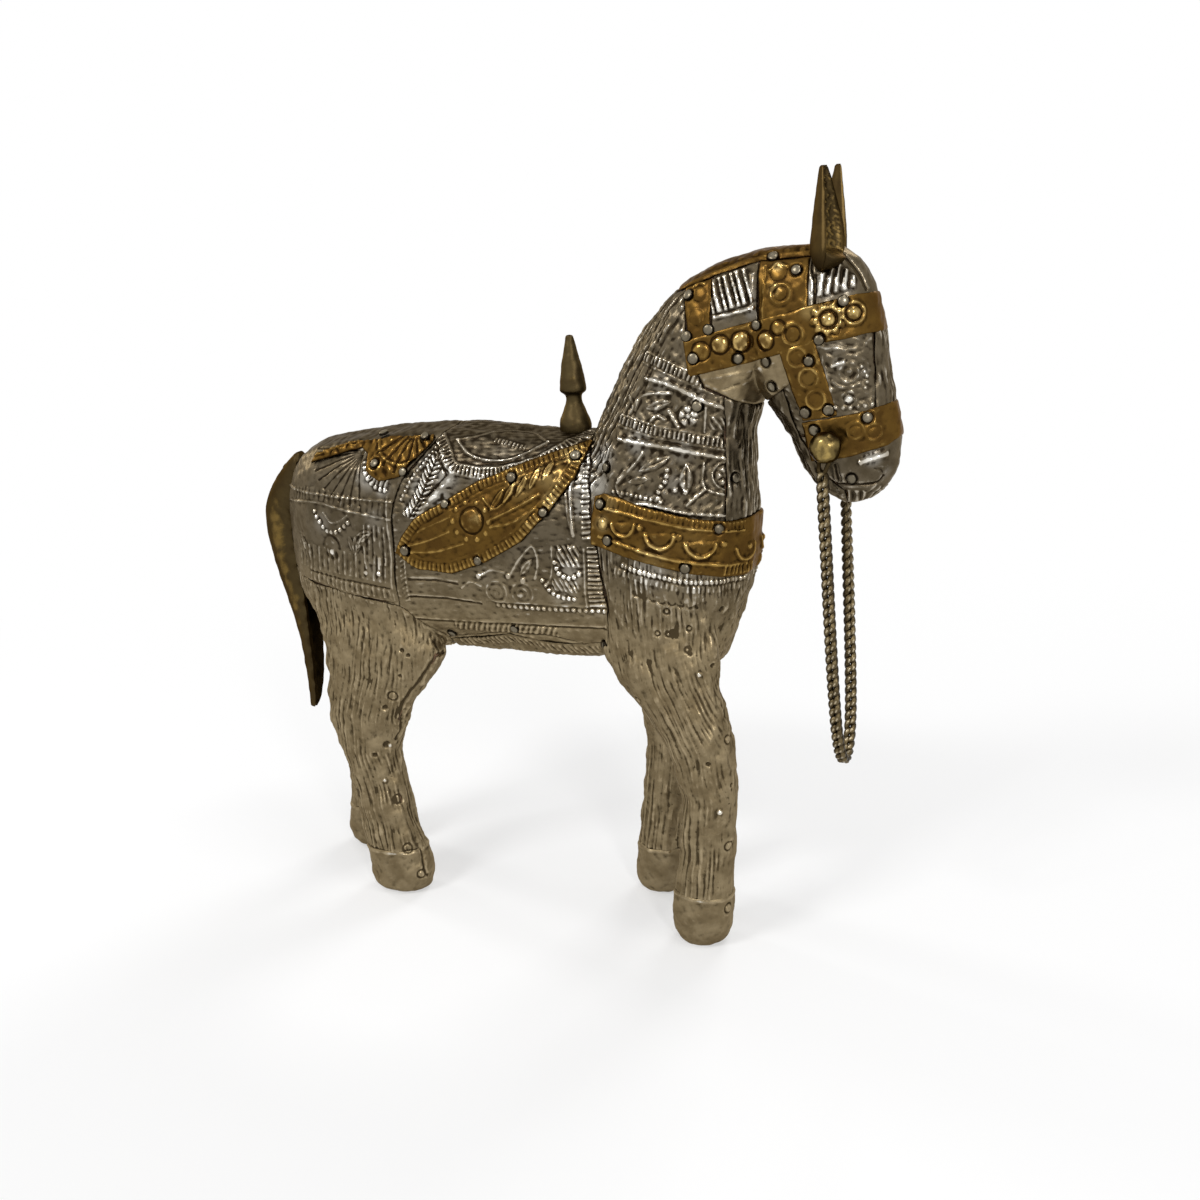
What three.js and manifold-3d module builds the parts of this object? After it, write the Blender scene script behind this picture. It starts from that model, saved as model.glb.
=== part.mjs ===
// Horse figurine: a carved wooden core clad in embossed white metal and brass sheet, with cast brass ears,
// saddle finial, tail and rein bosses, and a curb chain rein that swings on the two bosses.
// Millimetres, +X towards the head, +Y to the horse's left, +Z up, standing on z = 0.
import * as THREE from "three";
import { mergeVertices } from "three/addons/utils/BufferGeometryUtils.js";
import Module from "manifold-3d";

const wasm = await Module();
wasm.setup();

// Sheet metal and its layers, measured outwards from the face of the white metal, which the slices below follow
const CLEARANCE = 0.3;
const SHEET = 0.7;
const SEAM = 0.3;
const WHITE_OUTER = 0;
const WHITE_INNER = WHITE_OUTER - SHEET;
const WOOD_FACE = WHITE_INNER - CLEARANCE;
const BRASS_INNER = WHITE_OUTER + CLEARANCE;
const BRASS_OUTER = BRASS_INNER + SHEET;

// Each row is one slice of the clad horse: its place along the axis, its two edges and its half width.
const SIDE_REACH = 60;
const BODY_ROUNDNESS = 2.5;
const NECK_ROUNDNESS = 2.3;
const LEG_ROUNDNESS = 2.3;
const BODY_SIDES = 14;
const HEAD_SIDES = 12;
const LEG_SIDES = 8;
// x, belly z, back z, half width
const BARREL = [
  [-92.3, 112, 128, 2],
  [-91, 104, 136, 4.6],
  [-87.5, 96.6, 143.6, 9],
  [-82, 90.2, 149.4, 14],
  [-74, 86, 153.2, 18.6],
  [-60, 84.4, 155.5, 21.5],
  [-40, 85, 157.8, 22],
  [-18, 85, 158.4, 22],
  [2, 84.8, 156.6, 22],
  [20, 84.8, 155.4, 21.5],
  [40, 89, 151.5, 18],
];
// z, crest x, chest or throat x, half width
const FOREHAND = [
  [83.5, 30, 55.4, 14],
  [87.5, 24, 59.8, 19],
  [97.5, 20, 63.4, 21.3],
  [109.5, 18, 67.6, 22],
  [121.5, 17, 69.6, 22],
  [133.5, 17, 70, 20.8],
  [145.5, 18, 69.8, 18.8],
  [155.5, 22, 70, 17],
  [164.5, 26.7, 73, 15.8],
  [174.5, 31.8, 77, 14.8],
  [183.5, 37.6, 80, 14],
  [191.5, 45, 82, 13],
  [197, 51.6, 84, 11.6],
  [201.2, 61, 85, 9],
  [204.2, 73, 86, 5],
];
// z, jaw x, nose x, half width
const HEAD = [
  [135.6, 97, 100, 4],
  [137.4, 92.4, 103.2, 6.6],
  [140.5, 87.6, 107.2, 8.4],
  [145.5, 83.6, 110.2, 9.6],
  [152.5, 81, 110.8, 10.5],
  [159.5, 76.4, 109.8, 11.4],
  [169.5, 69.4, 108, 12.7],
  [179.5, 64, 106.6, 13.2],
  [187.5, 63, 105, 12.9],
  [194.5, 64, 103.2, 11.8],
  [200.2, 68, 99.8, 9.4],
  [204.4, 76, 94, 5.4],
];
// Legs: the left pair stands one stride behind the right pair
const LEG_Y = 13.4;
// z, leg axis x, half length along x, half width across
const LEGS = {
  front_right: [
    [0, 54.2, 6.6, 5.8],
    [3, 54.4, 8.6, 7.4],
    [7.5, 54.8, 9.4, 8],
    [13, 55, 9.6, 8.2],
    [19.5, 55.8, 9, 7.9],
    [31.5, 57, 8.6, 7.6],
    [47.5, 58, 8.6, 7.6],
    [56.5, 57, 9.6, 8],
    [63.5, 55.4, 11, 8.2],
    [72.5, 52, 12.7, 8.4],
    [83.5, 46, 16.2, 8.4],
    [92.5, 44, 19, 8],
    [107.5, 44, 17, 5.5],
  ],
  front_left: [
    [0, 30.8, 7, 5.8],
    [3, 31.4, 8.6, 7.4],
    [7.5, 31.8, 9.2, 8],
    [13, 32.4, 9.4, 8.2],
    [19.5, 32.8, 9, 7.9],
    [31.5, 34.2, 8.6, 7.6],
    [47.5, 36.2, 8.8, 7.6],
    [56.5, 37.4, 9.4, 8],
    [63.5, 37.6, 10.8, 8.2],
    [72.5, 36.4, 13.2, 8.4],
    [83.5, 36.4, 17.2, 8.4],
    [92.5, 40, 19, 8],
    [107.5, 42, 17, 5.5],
  ],
  hind_right: [
    [0, -54, 9.2, 6.4],
    [3, -53.8, 11, 7.6],
    [8, -53.8, 11.6, 8.1],
    [15.5, -55, 11, 8.2],
    [25.5, -57.2, 10.4, 7.8],
    [41.5, -60, 10.2, 7.6],
    [50.5, -61.6, 11.2, 7.8],
    [57.5, -61.6, 13.6, 8],
    [63.5, -60.5, 15.5, 8.2],
    [69.5, -58.8, 17.4, 8.4],
    [77.5, -54.4, 20.6, 8.5],
    [85.5, -52.1, 23.3, 8.2],
    [105.5, -58, 22, 5.5],
  ],
  hind_left: [
    [0, -81.6, 9.2, 6.4],
    [3, -81.4, 11, 7.6],
    [8, -81.2, 11.4, 8.1],
    [15.5, -80.8, 10.8, 8.2],
    [25.5, -80.2, 10, 7.8],
    [41.5, -79.2, 9.8, 7.6],
    [50.5, -78.6, 11.2, 7.8],
    [57.5, -77.6, 13.2, 8],
    [63.5, -75.8, 15, 8.2],
    [69.5, -73.4, 17, 8.4],
    [77.5, -69.6, 20, 8.5],
    [85.5, -65, 22, 8.2],
    [105.5, -61, 21, 5.5],
  ],
};

// Seams between the white metal plates, as x, z on the horse's side
const GROIN_X = -27;
const ELBOW_X = { right: 25, left: 13 };
const UNDER_BELLY = 68;
const CUT_CLEAR = 9.1;
const OVER_SPINE = Math.max(...BARREL.map(([, , back]) => back)) + CUT_CLEAR;
const SPINE_TO_FLANK = [[-21, OVER_SPINE], [-25, 155.5], [-36, 142.5], [-39, 135.5], [-41, 102]];
const RUMP_FOOT = [[-115, 112.5], [-75, 107.5], [-41, 102]];
const BELLY_SEAM = [[-41, 102], [GROIN_X, 90.5], [-4, 94.5], [13, 92.3], [25, 93], [29, 94]];
const GIRTH = [[29, 94], [30, 105.5], [28, 123.5], [26.5, 133.5], [25, 147.5], [21.5, 157.5], [20, OVER_SPINE]];
const THROAT_X = 65;
const BREAST_Z = 123.5;
const BREAST_SEAM = [[26.5, 133.5], [50, 127], [THROAT_X, BREAST_Z]];
const NECK_CREST = [[21.5, 157.5], [25, 147.5]];
const THROAT_TOP = [[THROAT_X, 166], [72.5, 162], [78, 147.5]];
const POLL = { rear: [53.5, 195], flutes: [62, 197.7], front: [74.5, 201], forelock: [88, 201.6] };
const CROWN = {
  rear: [56, 176.5],
  flutes: [62, 178.1],
  front: [74.5, 181.4],
  strap: [83, 183.4],
  forelock: [88, 184.5],
};
const NOSE = { top: [104, 186.5], foot: [105.5, 158], topAhead: 188, footAhead: 160.5 };
const CHEEK_REAR = [[84.6, 169.5], [81, 167.5]];
const JOWL_REAR = [60, 168.5];
const NAPE = [50, 194];
const JAW_INNER = [[81, 167.5], [83, 159.5], [84.6, 154.5], [87, 151], [91, 144.5], [97, 139.5]];
const MUZZLE_TOP = [[84.6, 154.5], [98, 156]];
const UNDER_CHIN = 127;
const CHIN = [[97, UNDER_CHIN], [84, UNDER_CHIN]];
const MANE_HALF_WIDTH = 3.2;
const MANE_TOP_X = 46;
const MANE_FOOT_X = 40;
const COLLAR_Z = { front: 13, hind: 15.5 };
const AHEAD = 120;
const BEHIND = -115;
const ABOVE = Math.max(FOREHAND.at(-1)[0], HEAD.at(-1)[0]) + CUT_CLEAR;

// Brass overlays, as x, z on the horse's side
const BREAST_BAND = [
  [27.5, 138.5], [31, 139.5], [53, 134], [66, 131.5], [90, 131],
  [90, 112.5], [68, 115], [50, 119], [38, 122], [26.5, 125],
];
const CROWN_BAND = [
  [55, 182], [76, 187], [90, 189], [103, 190.1], [125, 191],
  [125, 185], [104, 183.7], [90, 180.9], [80, 178.5], [56, 172],
];
const CHEEK_STRAP = [[80.3, 178.1], [90, 180.5], [95.8, 160.5], [86.2, 158.9]];
const NOSEBAND = [
  [85.8, 158.5], [96, 160.1], [107, 162.7], [125, 167.5],
  [125, 158.5], [112, 155], [108, 152.3], [99, 149.5], [88, 147.9],
];
const SADDLE_LEAF = [
  [-39, 120], [-36, 125.5], [-31, 131], [-19, 137.3], [-8, 143], [2, 146.5], [12, 149.8], [25, 153.5],
  [21.5, 143.5], [14, 134], [5, 125.2], [-7, 118.5], [-19, 114.5], [-31, 115.1],
];
const RUMP_FAN = [
  [-73, 146], [-53, 151.1], [-50, 149], [-49, 144.5], [-44, 141.7], [-36.6, 143.1], [-27, 153.5],
  [-29, OVER_SPINE], [-60, OVER_SPINE],
];

// Cast pieces
const TANG_RADIUS = 1.3;
const TANG_SIDES = 8;
const EAR = { pastPoll: 3, y: 7.5, bedding: 8, tangDepth: 12 };
// radius, height above the ear's foot
const EAR_PROFILE = [[4.6, 0], [4.5, 5], [3.9, 9], [2.9, 16], [2, 24], [1, 30], [0.4, 30.6]];
const FINIAL = { x: 14.6, bedding: 3.5, tangDepth: 9 };
// radius, height above the finial's foot
const FINIAL_PROFILE = [
  [3.4, 0], [4.4, 3], [4.9, 5], [4.5, 7.4], [2.7, 10.4], [2.3, 12],
  [3.9, 13.4], [4, 15], [3, 21], [1.4, 29.4], [1, 30.2],
];
const CAST_SIDES = 8;
const TAIL_THICKNESS = 1.5;
// x, z of the tail's middle line, then its half width and the depth of its channel
const TAIL = [
  [-88.2, 145.6, 3, 2],
  [-92.8, 141.8, 4.2, 6.5],
  [-97.8, 136.4, 4.8, 10],
  [-101.6, 129.5, 4.9, 12],
  [-102.6, 121.5, 4.9, 12],
  [-100.8, 110.5, 4.8, 10],
  [-97.2, 96.5, 4.4, 7.5],
  [-94, 82.5, 3.7, 4.4],
  [-93.2, 69.5, 2.9, 2.8],
  [-93.8, 57, 1.2, 1],
];
const TAIL_NAIL = {
  x: -92.8, z: 141.8, forward: 0.86, down: 0.51,
  headRadius: 1.7, headHeight: 0.7, shankRadius: 0.7, length: 9,
};

// Rein: two bosses on the noseband, an end ring on each, and the chain between the rings
const REIN = { x: 93.4, z: 152.5 };
const NOSEBAND_FACE = 10.5 + BRASS_OUTER;
const BOSS = {
  collarRadius: 2.8, collar: 1.1, neckRadius: 1.5, neck: 1.8,
  domeRadius: 4.3, dome: 3.3, tangDepth: 7,
};
const RING = { thickness: 1.2, outer: 3.3, lugWidth: 2.6, lugReach: 5.6, lugTurn: 0.2, steps: 10 };
const CHAIN_DIAMETER = 3.6;
const CHAIN_LEAN = 0.04;
const CHAIN_GAP = 0.75;
const CHAIN_SIDES = 8;
const CHAIN_STEPS = 32;

// Tacks: round heads on the brass, at x, z
const TACK = { headRadius: 1.7, headHeight: 1.1, shankRadius: 0.5, length: 4.5, sides: 7, shankSides: 6 };
const TACKS = {
  saddle_rear: [-35, 121],
  saddle_front: [20.5, 149],
  saddle_top: [2, 143.5],
  breast: [29.7, 136.3],
};

const finish = (color, roughness, metalness) => new THREE.MeshStandardMaterial({ color, roughness, metalness });
const WOOD = finish(0x6b4a2e, 0.8, 0);
const WHITE_METAL = finish(0x8f877a, 0.4, 1);
const BRASS_SHEET = finish(0xa67c35, 0.35, 1);
const CAST_BRASS = finish(0x6e5a30, 0.5, 1);
const TACK_METAL = finish(0xa9a49a, 0.35, 1);

const horse = new THREE.Group();
horse.name = "horse_figurine";

// Closed three.js geometry into a solid that can be cut
function solidOf(geometry) {
  const bare = geometry.clone();
  bare.deleteAttribute("normal");
  bare.deleteAttribute("uv");
  const merged = mergeVertices(bare, 1e-4);
  const mesh = new wasm.Mesh({
    numProp: 3,
    vertProperties: new Float32Array(merged.attributes.position.array),
    triVerts: new Uint32Array(merged.index.array),
  });
  return new wasm.Manifold(mesh);
}

function geometryOf(solid) {
  const mesh = solid.getMesh();
  const geometry = new THREE.BufferGeometry();
  geometry.setAttribute("position", new THREE.BufferAttribute(mesh.vertProperties, 3));
  geometry.setIndex(new THREE.BufferAttribute(mesh.triVerts, 1));
  const faceted = geometry.toNonIndexed();
  faceted.computeVertexNormals();
  return faceted;
}

function addPiece(name, solid, material) {
  const mesh = new THREE.Mesh(geometryOf(solid), material);
  mesh.name = name;
  horse.add(mesh);
  return mesh;
}

// Superellipse point at an angle: 2 is an ellipse, larger is squarer
function roundedPoint(angle, roundness) {
  const bend = (value) => Math.sign(value) * Math.abs(value) ** (2 / roundness);
  return [bend(Math.cos(angle)), bend(Math.sin(angle))];
}

// Closed body through rings of points that turn the same way about an axis. The skin is pushed out along its
// own normals, and the two ends along the axis, which gives each face of each layer.
function loft(rings, axis, push) {
  const count = rings[0].length;
  const at = (i, k) => rings[i][(k + count) % count];
  const last = rings.length - 1;
  const points = [];
  rings.forEach((ring, i) =>
    ring.forEach((point, k) => {
      const along = at(Math.min(i + 1, last), k).clone().sub(at(Math.max(i - 1, 0), k));
      const around = at(i, k + 1).clone().sub(at(i, k - 1));
      const normal = around.cross(along).normalize();
      const end = i === 0 ? -1 : i === last ? 1 : 0;
      if (end !== 0) {
        normal.addScaledVector(axis, end - normal.dot(axis));
      }
      points.push(point.clone().addScaledVector(normal, push));
    }),
  );
  const middle = (i) =>
    points
      .slice(i * count, (i + 1) * count)
      .reduce((sum, point) => sum.add(point), new THREE.Vector3())
      .divideScalar(count);
  const startCap = points.push(middle(0)) - 1;
  const endCap = points.push(middle(last)) - 1;
  const faces = [];
  for (let k = 0; k < count; k += 1) {
    const next = (k + 1) % count;
    faces.push(startCap, next, k);
    faces.push(endCap, last * count + k, last * count + next);
    for (let i = 0; i < last; i += 1) {
      const a = i * count;
      faces.push(a + k, a + next, a + count + next);
      faces.push(a + k, a + count + next, a + count + k);
    }
  }
  const geometry = new THREE.BufferGeometry().setFromPoints(points);
  geometry.setIndex(faces);
  return solidOf(geometry);
}

const X_AXIS = new THREE.Vector3(1, 0, 0);
const Z_AXIS = new THREE.Vector3(0, 0, 1);

function ringOf(sides, roundness, place) {
  const turn = (2 * Math.PI) / sides;
  return Array.from({ length: sides }, (_, k) => place(...roundedPoint(turn * (k + 0.5), roundness)));
}

function barrelAt(push) {
  const rings = BARREL.map(([x, low, high, half]) =>
    ringOf(BODY_SIDES, BODY_ROUNDNESS, (c, s) =>
      new THREE.Vector3(x, half * c, (low + high) / 2 + ((high - low) / 2) * s),
    ),
  );
  return loft(rings, X_AXIS, push);
}

function uprightAt(rows, sides, roundness, push) {
  const rings = rows.map(([z, rear, front, half]) =>
    ringOf(sides, roundness, (c, s) =>
      new THREE.Vector3((rear + front) / 2 + ((front - rear) / 2) * c, half * s, z),
    ),
  );
  return loft(rings, Z_AXIS, push);
}

function legAt(name, push) {
  const side = name.endsWith("right") ? -1 : 1;
  const rings = LEGS[name].map(([z, x, long, half]) =>
    ringOf(LEG_SIDES, LEG_ROUNDNESS, (c, s) => new THREE.Vector3(x + long * c, side * LEG_Y + half * s, z)),
  );
  return loft(rings, Z_AXIS, push);
}

// The whole horse, pushed out from the wood by one distance
function horseAt(push) {
  const parts = [
    barrelAt(push),
    uprightAt(FOREHAND, BODY_SIDES, NECK_ROUNDNESS, push),
    uprightAt(HEAD, HEAD_SIDES, NECK_ROUNDNESS, push),
    ...Object.keys(LEGS).map((name) => legAt(name, push)),
  ];
  return parts.reduce((whole, next) => whole.add(next));
}

// Outline on the horse's side, moved in by a distance, so that neighbours leave a seam
function inset(outline, distance) {
  const points = outline.map(([x, z]) => new THREE.Vector2(x, z));
  const turn = Math.sign(THREE.ShapeUtils.area(points));
  return points.map((point, i) => {
    const before = points[(i + points.length - 1) % points.length];
    const after = points[(i + 1) % points.length];
    const inward = (a, b) => new THREE.Vector2(a.y - b.y, b.x - a.x).normalize().multiplyScalar(turn);
    const [n, m] = [inward(before, point), inward(point, after)];
    return point.clone().addScaledVector(n.clone().add(m), distance / (1 + n.dot(m)));
  });
}

// Prism across the horse between two y values, with the outline as seen from the horse's right
function across(outline, from, to) {
  const shape = new THREE.Shape(inset(outline, SEAM / 2));
  const geometry = new THREE.ExtrudeGeometry(shape, { depth: to - from, bevelEnabled: false });
  geometry.rotateX(Math.PI / 2).translate(0, to, 0);
  return solidOf(geometry);
}

function cylinderAlong(radius, start, direction, length, sides = TANG_SIDES) {
  const geometry = new THREE.CylinderGeometry(radius, radius, length, sides).translate(0, length / 2, 0);
  const turn = new THREE.Quaternion();
  turn.setFromUnitVectors(new THREE.Vector3(0, 1, 0), direction.clone().normalize());
  return solidOf(geometry.applyQuaternion(turn).translate(start.x, start.y, start.z));
}

const RIGHT = [-SIDE_REACH, -SEAM / 2];
const LEFT = [SEAM / 2, SIDE_REACH];
const BOTH = [-SIDE_REACH, SIDE_REACH];
const SIDES = { right: RIGHT, left: LEFT };

const underBrass = horseAt(BRASS_INNER);
const whiteSkin = horseAt(WHITE_OUTER).subtract(horseAt(WHITE_INNER));
const brassSkin = horseAt(BRASS_OUTER).subtract(underBrass);

// Each sheet piece is gathered here, and cut for the tangs and shanks that pass through it before it is added
const pieces = new Map();
const whitePlate = (name, outline, [from, to]) =>
  pieces.set(name, { solid: whiteSkin.intersect(across(outline, from, to)), material: WHITE_METAL });
const brassPlate = (name, outline, [from, to]) =>
  pieces.set(name, { solid: brassSkin.intersect(across(outline, from, to)), material: BRASS_SHEET });
const reversed = (points) => [...points].reverse();

pieces.set("wooden_core", { solid: horseAt(WOOD_FACE), material: WOOD });

// White metal on the rump, the barrel and the belly
for (const [side, reach] of Object.entries(SIDES)) {
  const rump = [[BEHIND, OVER_SPINE], ...SPINE_TO_FLANK, ...reversed(RUMP_FOOT).slice(1)];
  whitePlate(`rump_plate_${side}`, rump, reach);
  whitePlate(`barrel_plate_${side}`, [...SPINE_TO_FLANK, ...BELLY_SEAM.slice(1), ...GIRTH.slice(1)], reach);
}
function bellySide(side, from, to) {
  const elbow = ELBOW_X[side];
  const seam = BELLY_SEAM.filter(([x]) => x >= GROIN_X && x <= elbow);
  return whiteSkin.intersect(across([...seam, [elbow, UNDER_BELLY], [GROIN_X, UNDER_BELLY]], from, to));
}
const belly = bellySide("right", ...RIGHT).add(bellySide("left", -SEAM, SIDE_REACH));
pieces.set("belly_plate", { solid: belly, material: WHITE_METAL });

// White metal on the legs, from the rump band and the breast band down to the hoof caps
function legOutline(end, side) {
  const collar = COLLAR_Z[end];
  if (end === "hind") {
    return [...reversed(RUMP_FOOT), [BEHIND, collar], [GROIN_X, collar], BELLY_SEAM[1]];
  }
  const elbow = ELBOW_X[side];
  const seam = BELLY_SEAM.filter(([x]) => x >= elbow);
  const front = [[AHEAD, BREAST_Z], [AHEAD, collar], [elbow, collar]];
  return [...BREAST_SEAM, ...front, ...seam, ...GIRTH.slice(1, 3)];
}
function hoofOutline(end) {
  const [rear, front] = end === "hind" ? [BEHIND, 0] : [0, AHEAD];
  return [[rear, -SEAM], [front, -SEAM], [front, COLLAR_Z[end]], [rear, COLLAR_Z[end]]];
}
for (const [side, reach] of Object.entries(SIDES)) {
  for (const end of ["front", "hind"]) {
    whitePlate(`${end}_leg_sleeve_${side}`, legOutline(end, side), reach);
    whitePlate(`${end}_hoof_cap_${side}`, hoofOutline(end), reach);
  }
}

// White metal on the neck: a plate on each side, a strip down the mane and another down the throat
const neckBack = [POLL.rear, NAPE, [MANE_TOP_X, ABOVE], [0, ABOVE], GIRTH.at(-1)];
const neckOutline = [...BREAST_SEAM, THROAT_TOP[0], JOWL_REAR, CROWN.rear, ...neckBack, ...NECK_CREST];
for (const [side, [from, to]] of Object.entries(SIDES)) {
  const half = side === "right" ? [from, -MANE_HALF_WIDTH] : [MANE_HALF_WIDTH, to];
  whitePlate(`neck_plate_${side}`, neckOutline, half);
}
const maneHalf = MANE_HALF_WIDTH - SEAM;
whitePlate("mane_strip", [NECK_CREST[0], [MANE_FOOT_X, OVER_SPINE], ...neckBack.slice(1)], [-maneHalf, maneHalf]);
const throatOutline = [[THROAT_X, BREAST_Z], [AHEAD, BREAST_Z], [90, 137.5], ...reversed(THROAT_TOP)];
whitePlate("throat_strip", throatOutline, BOTH);

// White metal and brass squares on the head
const crownUnderJowl = [CROWN.rear, CROWN.flutes, CROWN.front, CROWN.strap];
for (const [side, reach] of Object.entries(SIDES)) {
  whitePlate(
    `jowl_plate_${side}`,
    [JOWL_REAR, ...THROAT_TOP.slice(0, 2), ...reversed(CHEEK_REAR), ...reversed(crownUnderJowl)],
    reach,
  );
  whitePlate(
    `cheek_plate_${side}`,
    [CROWN.strap, ...CHEEK_REAR, ...JAW_INNER.slice(1, 2), ...MUZZLE_TOP, NOSE.foot, NOSE.top, CROWN.forelock],
    reach,
  );
  const squares = {
    poll_rear: ["rear", "flutes"],
    poll_flutes: ["flutes", "front"],
    poll_front: ["front", "forelock"],
  };
  for (const [name, [from, to]] of Object.entries(squares)) {
    whitePlate(`${name}_${side}`, [CROWN[from], CROWN[to], POLL[to], POLL[from]], reach);
    pieces.get(`${name}_${side}`).material = name === "poll_flutes" ? WHITE_METAL : BRASS_SHEET;
  }
}
whitePlate("poll_strip", [NAPE, ...Object.values(POLL), [POLL.forelock[0], ABOVE], [MANE_TOP_X, ABOVE]], BOTH);
pieces.get("poll_strip").material = BRASS_SHEET;
const noseAhead = { top: [AHEAD, NOSE.topAhead], foot: [AHEAD, NOSE.footAhead] };
const forelockOutline = [CROWN.forelock, NOSE.top, noseAhead.top, [AHEAD, ABOVE], [POLL.forelock[0], ABOVE]];
whitePlate("forelock_plate", forelockOutline, BOTH);
whitePlate("nose_plate", [NOSE.top, NOSE.foot, noseAhead.foot, noseAhead.top], BOTH);
const muzzleTop = [noseAhead.foot, NOSE.foot, ...reversed(MUZZLE_TOP)];
whitePlate("muzzle_cap", [...muzzleTop, ...JAW_INNER.slice(3), CHIN[0], [AHEAD, UNDER_CHIN]], BOTH);
whitePlate("jaw_strip", [...THROAT_TOP.slice(1), ...reversed(CHIN), ...reversed(JAW_INNER)], BOTH);

// Brass overlays
brassPlate("breast_band", BREAST_BAND, BOTH);
brassPlate("crown_band", CROWN_BAND, BOTH);
brassPlate("noseband", NOSEBAND, BOTH);
for (const [side, reach] of Object.entries(SIDES)) {
  brassPlate(`cheek_strap_${side}`, CHEEK_STRAP, reach);
  brassPlate(`saddle_leaf_${side}`, SADDLE_LEAF, reach);
  brassPlate(`rump_fan_${side}`, RUMP_FAN, reach);
}

// A shank or tang passes through every sheet and into the wood with a clearance all round
function drill(radius, start, direction, length) {
  const hole = cylinderAlong(radius + CLEARANCE, start, direction, length + CLEARANCE);
  for (const piece of pieces.values()) {
    piece.solid = piece.solid.subtract(hole);
  }
}

function turned(profile, sides) {
  const closed = [[0, profile[0][1]], ...profile, [0, profile.at(-1)[1]]];
  const points = closed.map(([radius, height]) => new THREE.Vector2(radius, height));
  return new THREE.LatheGeometry(points, sides).rotateX(Math.PI / 2);
}

const DOWN = new THREE.Vector3(0, 0, -1);
const castings = new Map();

// Height of the top of the clad horse over a place
const plumb = new THREE.Raycaster();
const overWhite = new THREE.Mesh(geometryOf(underBrass));
function topAt(x, y) {
  plumb.set(new THREE.Vector3(x, y, ABOVE), DOWN);
  return plumb.intersectObject(overWhite)[0].point.z;
}

// Ears and saddle finial: turned castings bedded on the plates, each with a tang down into the wood
function standing(name, profile, x, y, { bedding, tangDepth }) {
  const foot = topAt(x, y) - bedding;
  const body = solidOf(turned(profile, CAST_SIDES).translate(x, y, foot)).subtract(underBrass);
  const tangTop = new THREE.Vector3(x, y, foot + profile[1][1] + 3);
  const length = tangTop.z - foot + tangDepth;
  const tang = cylinderAlong(TANG_RADIUS, tangTop, DOWN, length);
  castings.set(name, { solid: body.add(tang), material: CAST_BRASS });
  drill(TANG_RADIUS, tangTop, DOWN, length);
}
const earX = POLL.forelock[0] + EAR.pastPoll;
standing("ear_right", EAR_PROFILE, earX, -EAR.y, EAR);
standing("ear_left", EAR_PROFILE, earX, EAR.y, EAR);
standing("saddle_finial", FINIAL_PROFILE, FINIAL.x, 0, FINIAL);

// Tail: a cast channel, hollow towards the rump, nailed on at the top
function tailSolid() {
  const middle = TAIL.map(([x, z]) => new THREE.Vector3(x, 0, z));
  const rings = TAIL.map(([, , half, cup], i) => {
    const [before, after] = [middle[Math.max(i - 1, 0)], middle[Math.min(i + 1, middle.length - 1)]];
    const along = after.clone().sub(before).normalize();
    const outward = new THREE.Vector3(along.z, 0, -along.x);
    const section = [
      [-half, cup], [-half * 0.68, cup / 2], [0, 0], [half * 0.68, cup / 2], [half, cup],
      [half * 0.98, cup / 3], [half * 0.72, -0.3 * TAIL_THICKNESS], [0, -TAIL_THICKNESS],
      [-half * 0.72, -0.3 * TAIL_THICKNESS], [-half * 0.98, cup / 3],
    ];
    const place = ([y, inwards]) => middle[i].clone().addScaledVector(outward, -inwards).setY(y);
    return section.reverse().map(place);
  });
  return loft(rings, Z_AXIS, 0);
}
const nailDirection = new THREE.Vector3(TAIL_NAIL.forward, 0, -TAIL_NAIL.down).normalize();
const outwards = nailDirection.clone().negate();
const nailSeat = new THREE.Vector3(TAIL_NAIL.x, 0, TAIL_NAIL.z).addScaledVector(outwards, TAIL_THICKNESS);
drill(TAIL_NAIL.shankRadius, nailSeat, nailDirection, TAIL_NAIL.length);
const nailHole = cylinderAlong(TAIL_NAIL.shankRadius + CLEARANCE, nailSeat, nailDirection, TAIL_NAIL.length);
const nailPocket = cylinderAlong(TAIL_NAIL.headRadius + CLEARANCE, nailSeat, outwards, TAIL_THICKNESS);
const tail = tailSolid().subtract(nailHole).subtract(nailPocket).subtract(underBrass);
castings.set("tail", { solid: tail, material: CAST_BRASS });
const nailHeadFoot = nailSeat.clone().addScaledVector(outwards, CLEARANCE);
const nailShank = cylinderAlong(TAIL_NAIL.shankRadius, nailHeadFoot, nailDirection, TAIL_NAIL.length);
const nail = nailShank.add(cylinderAlong(TAIL_NAIL.headRadius, nailHeadFoot, outwards, TAIL_NAIL.headHeight));
castings.set("tail_nail", { solid: nail, material: TACK_METAL });

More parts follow.
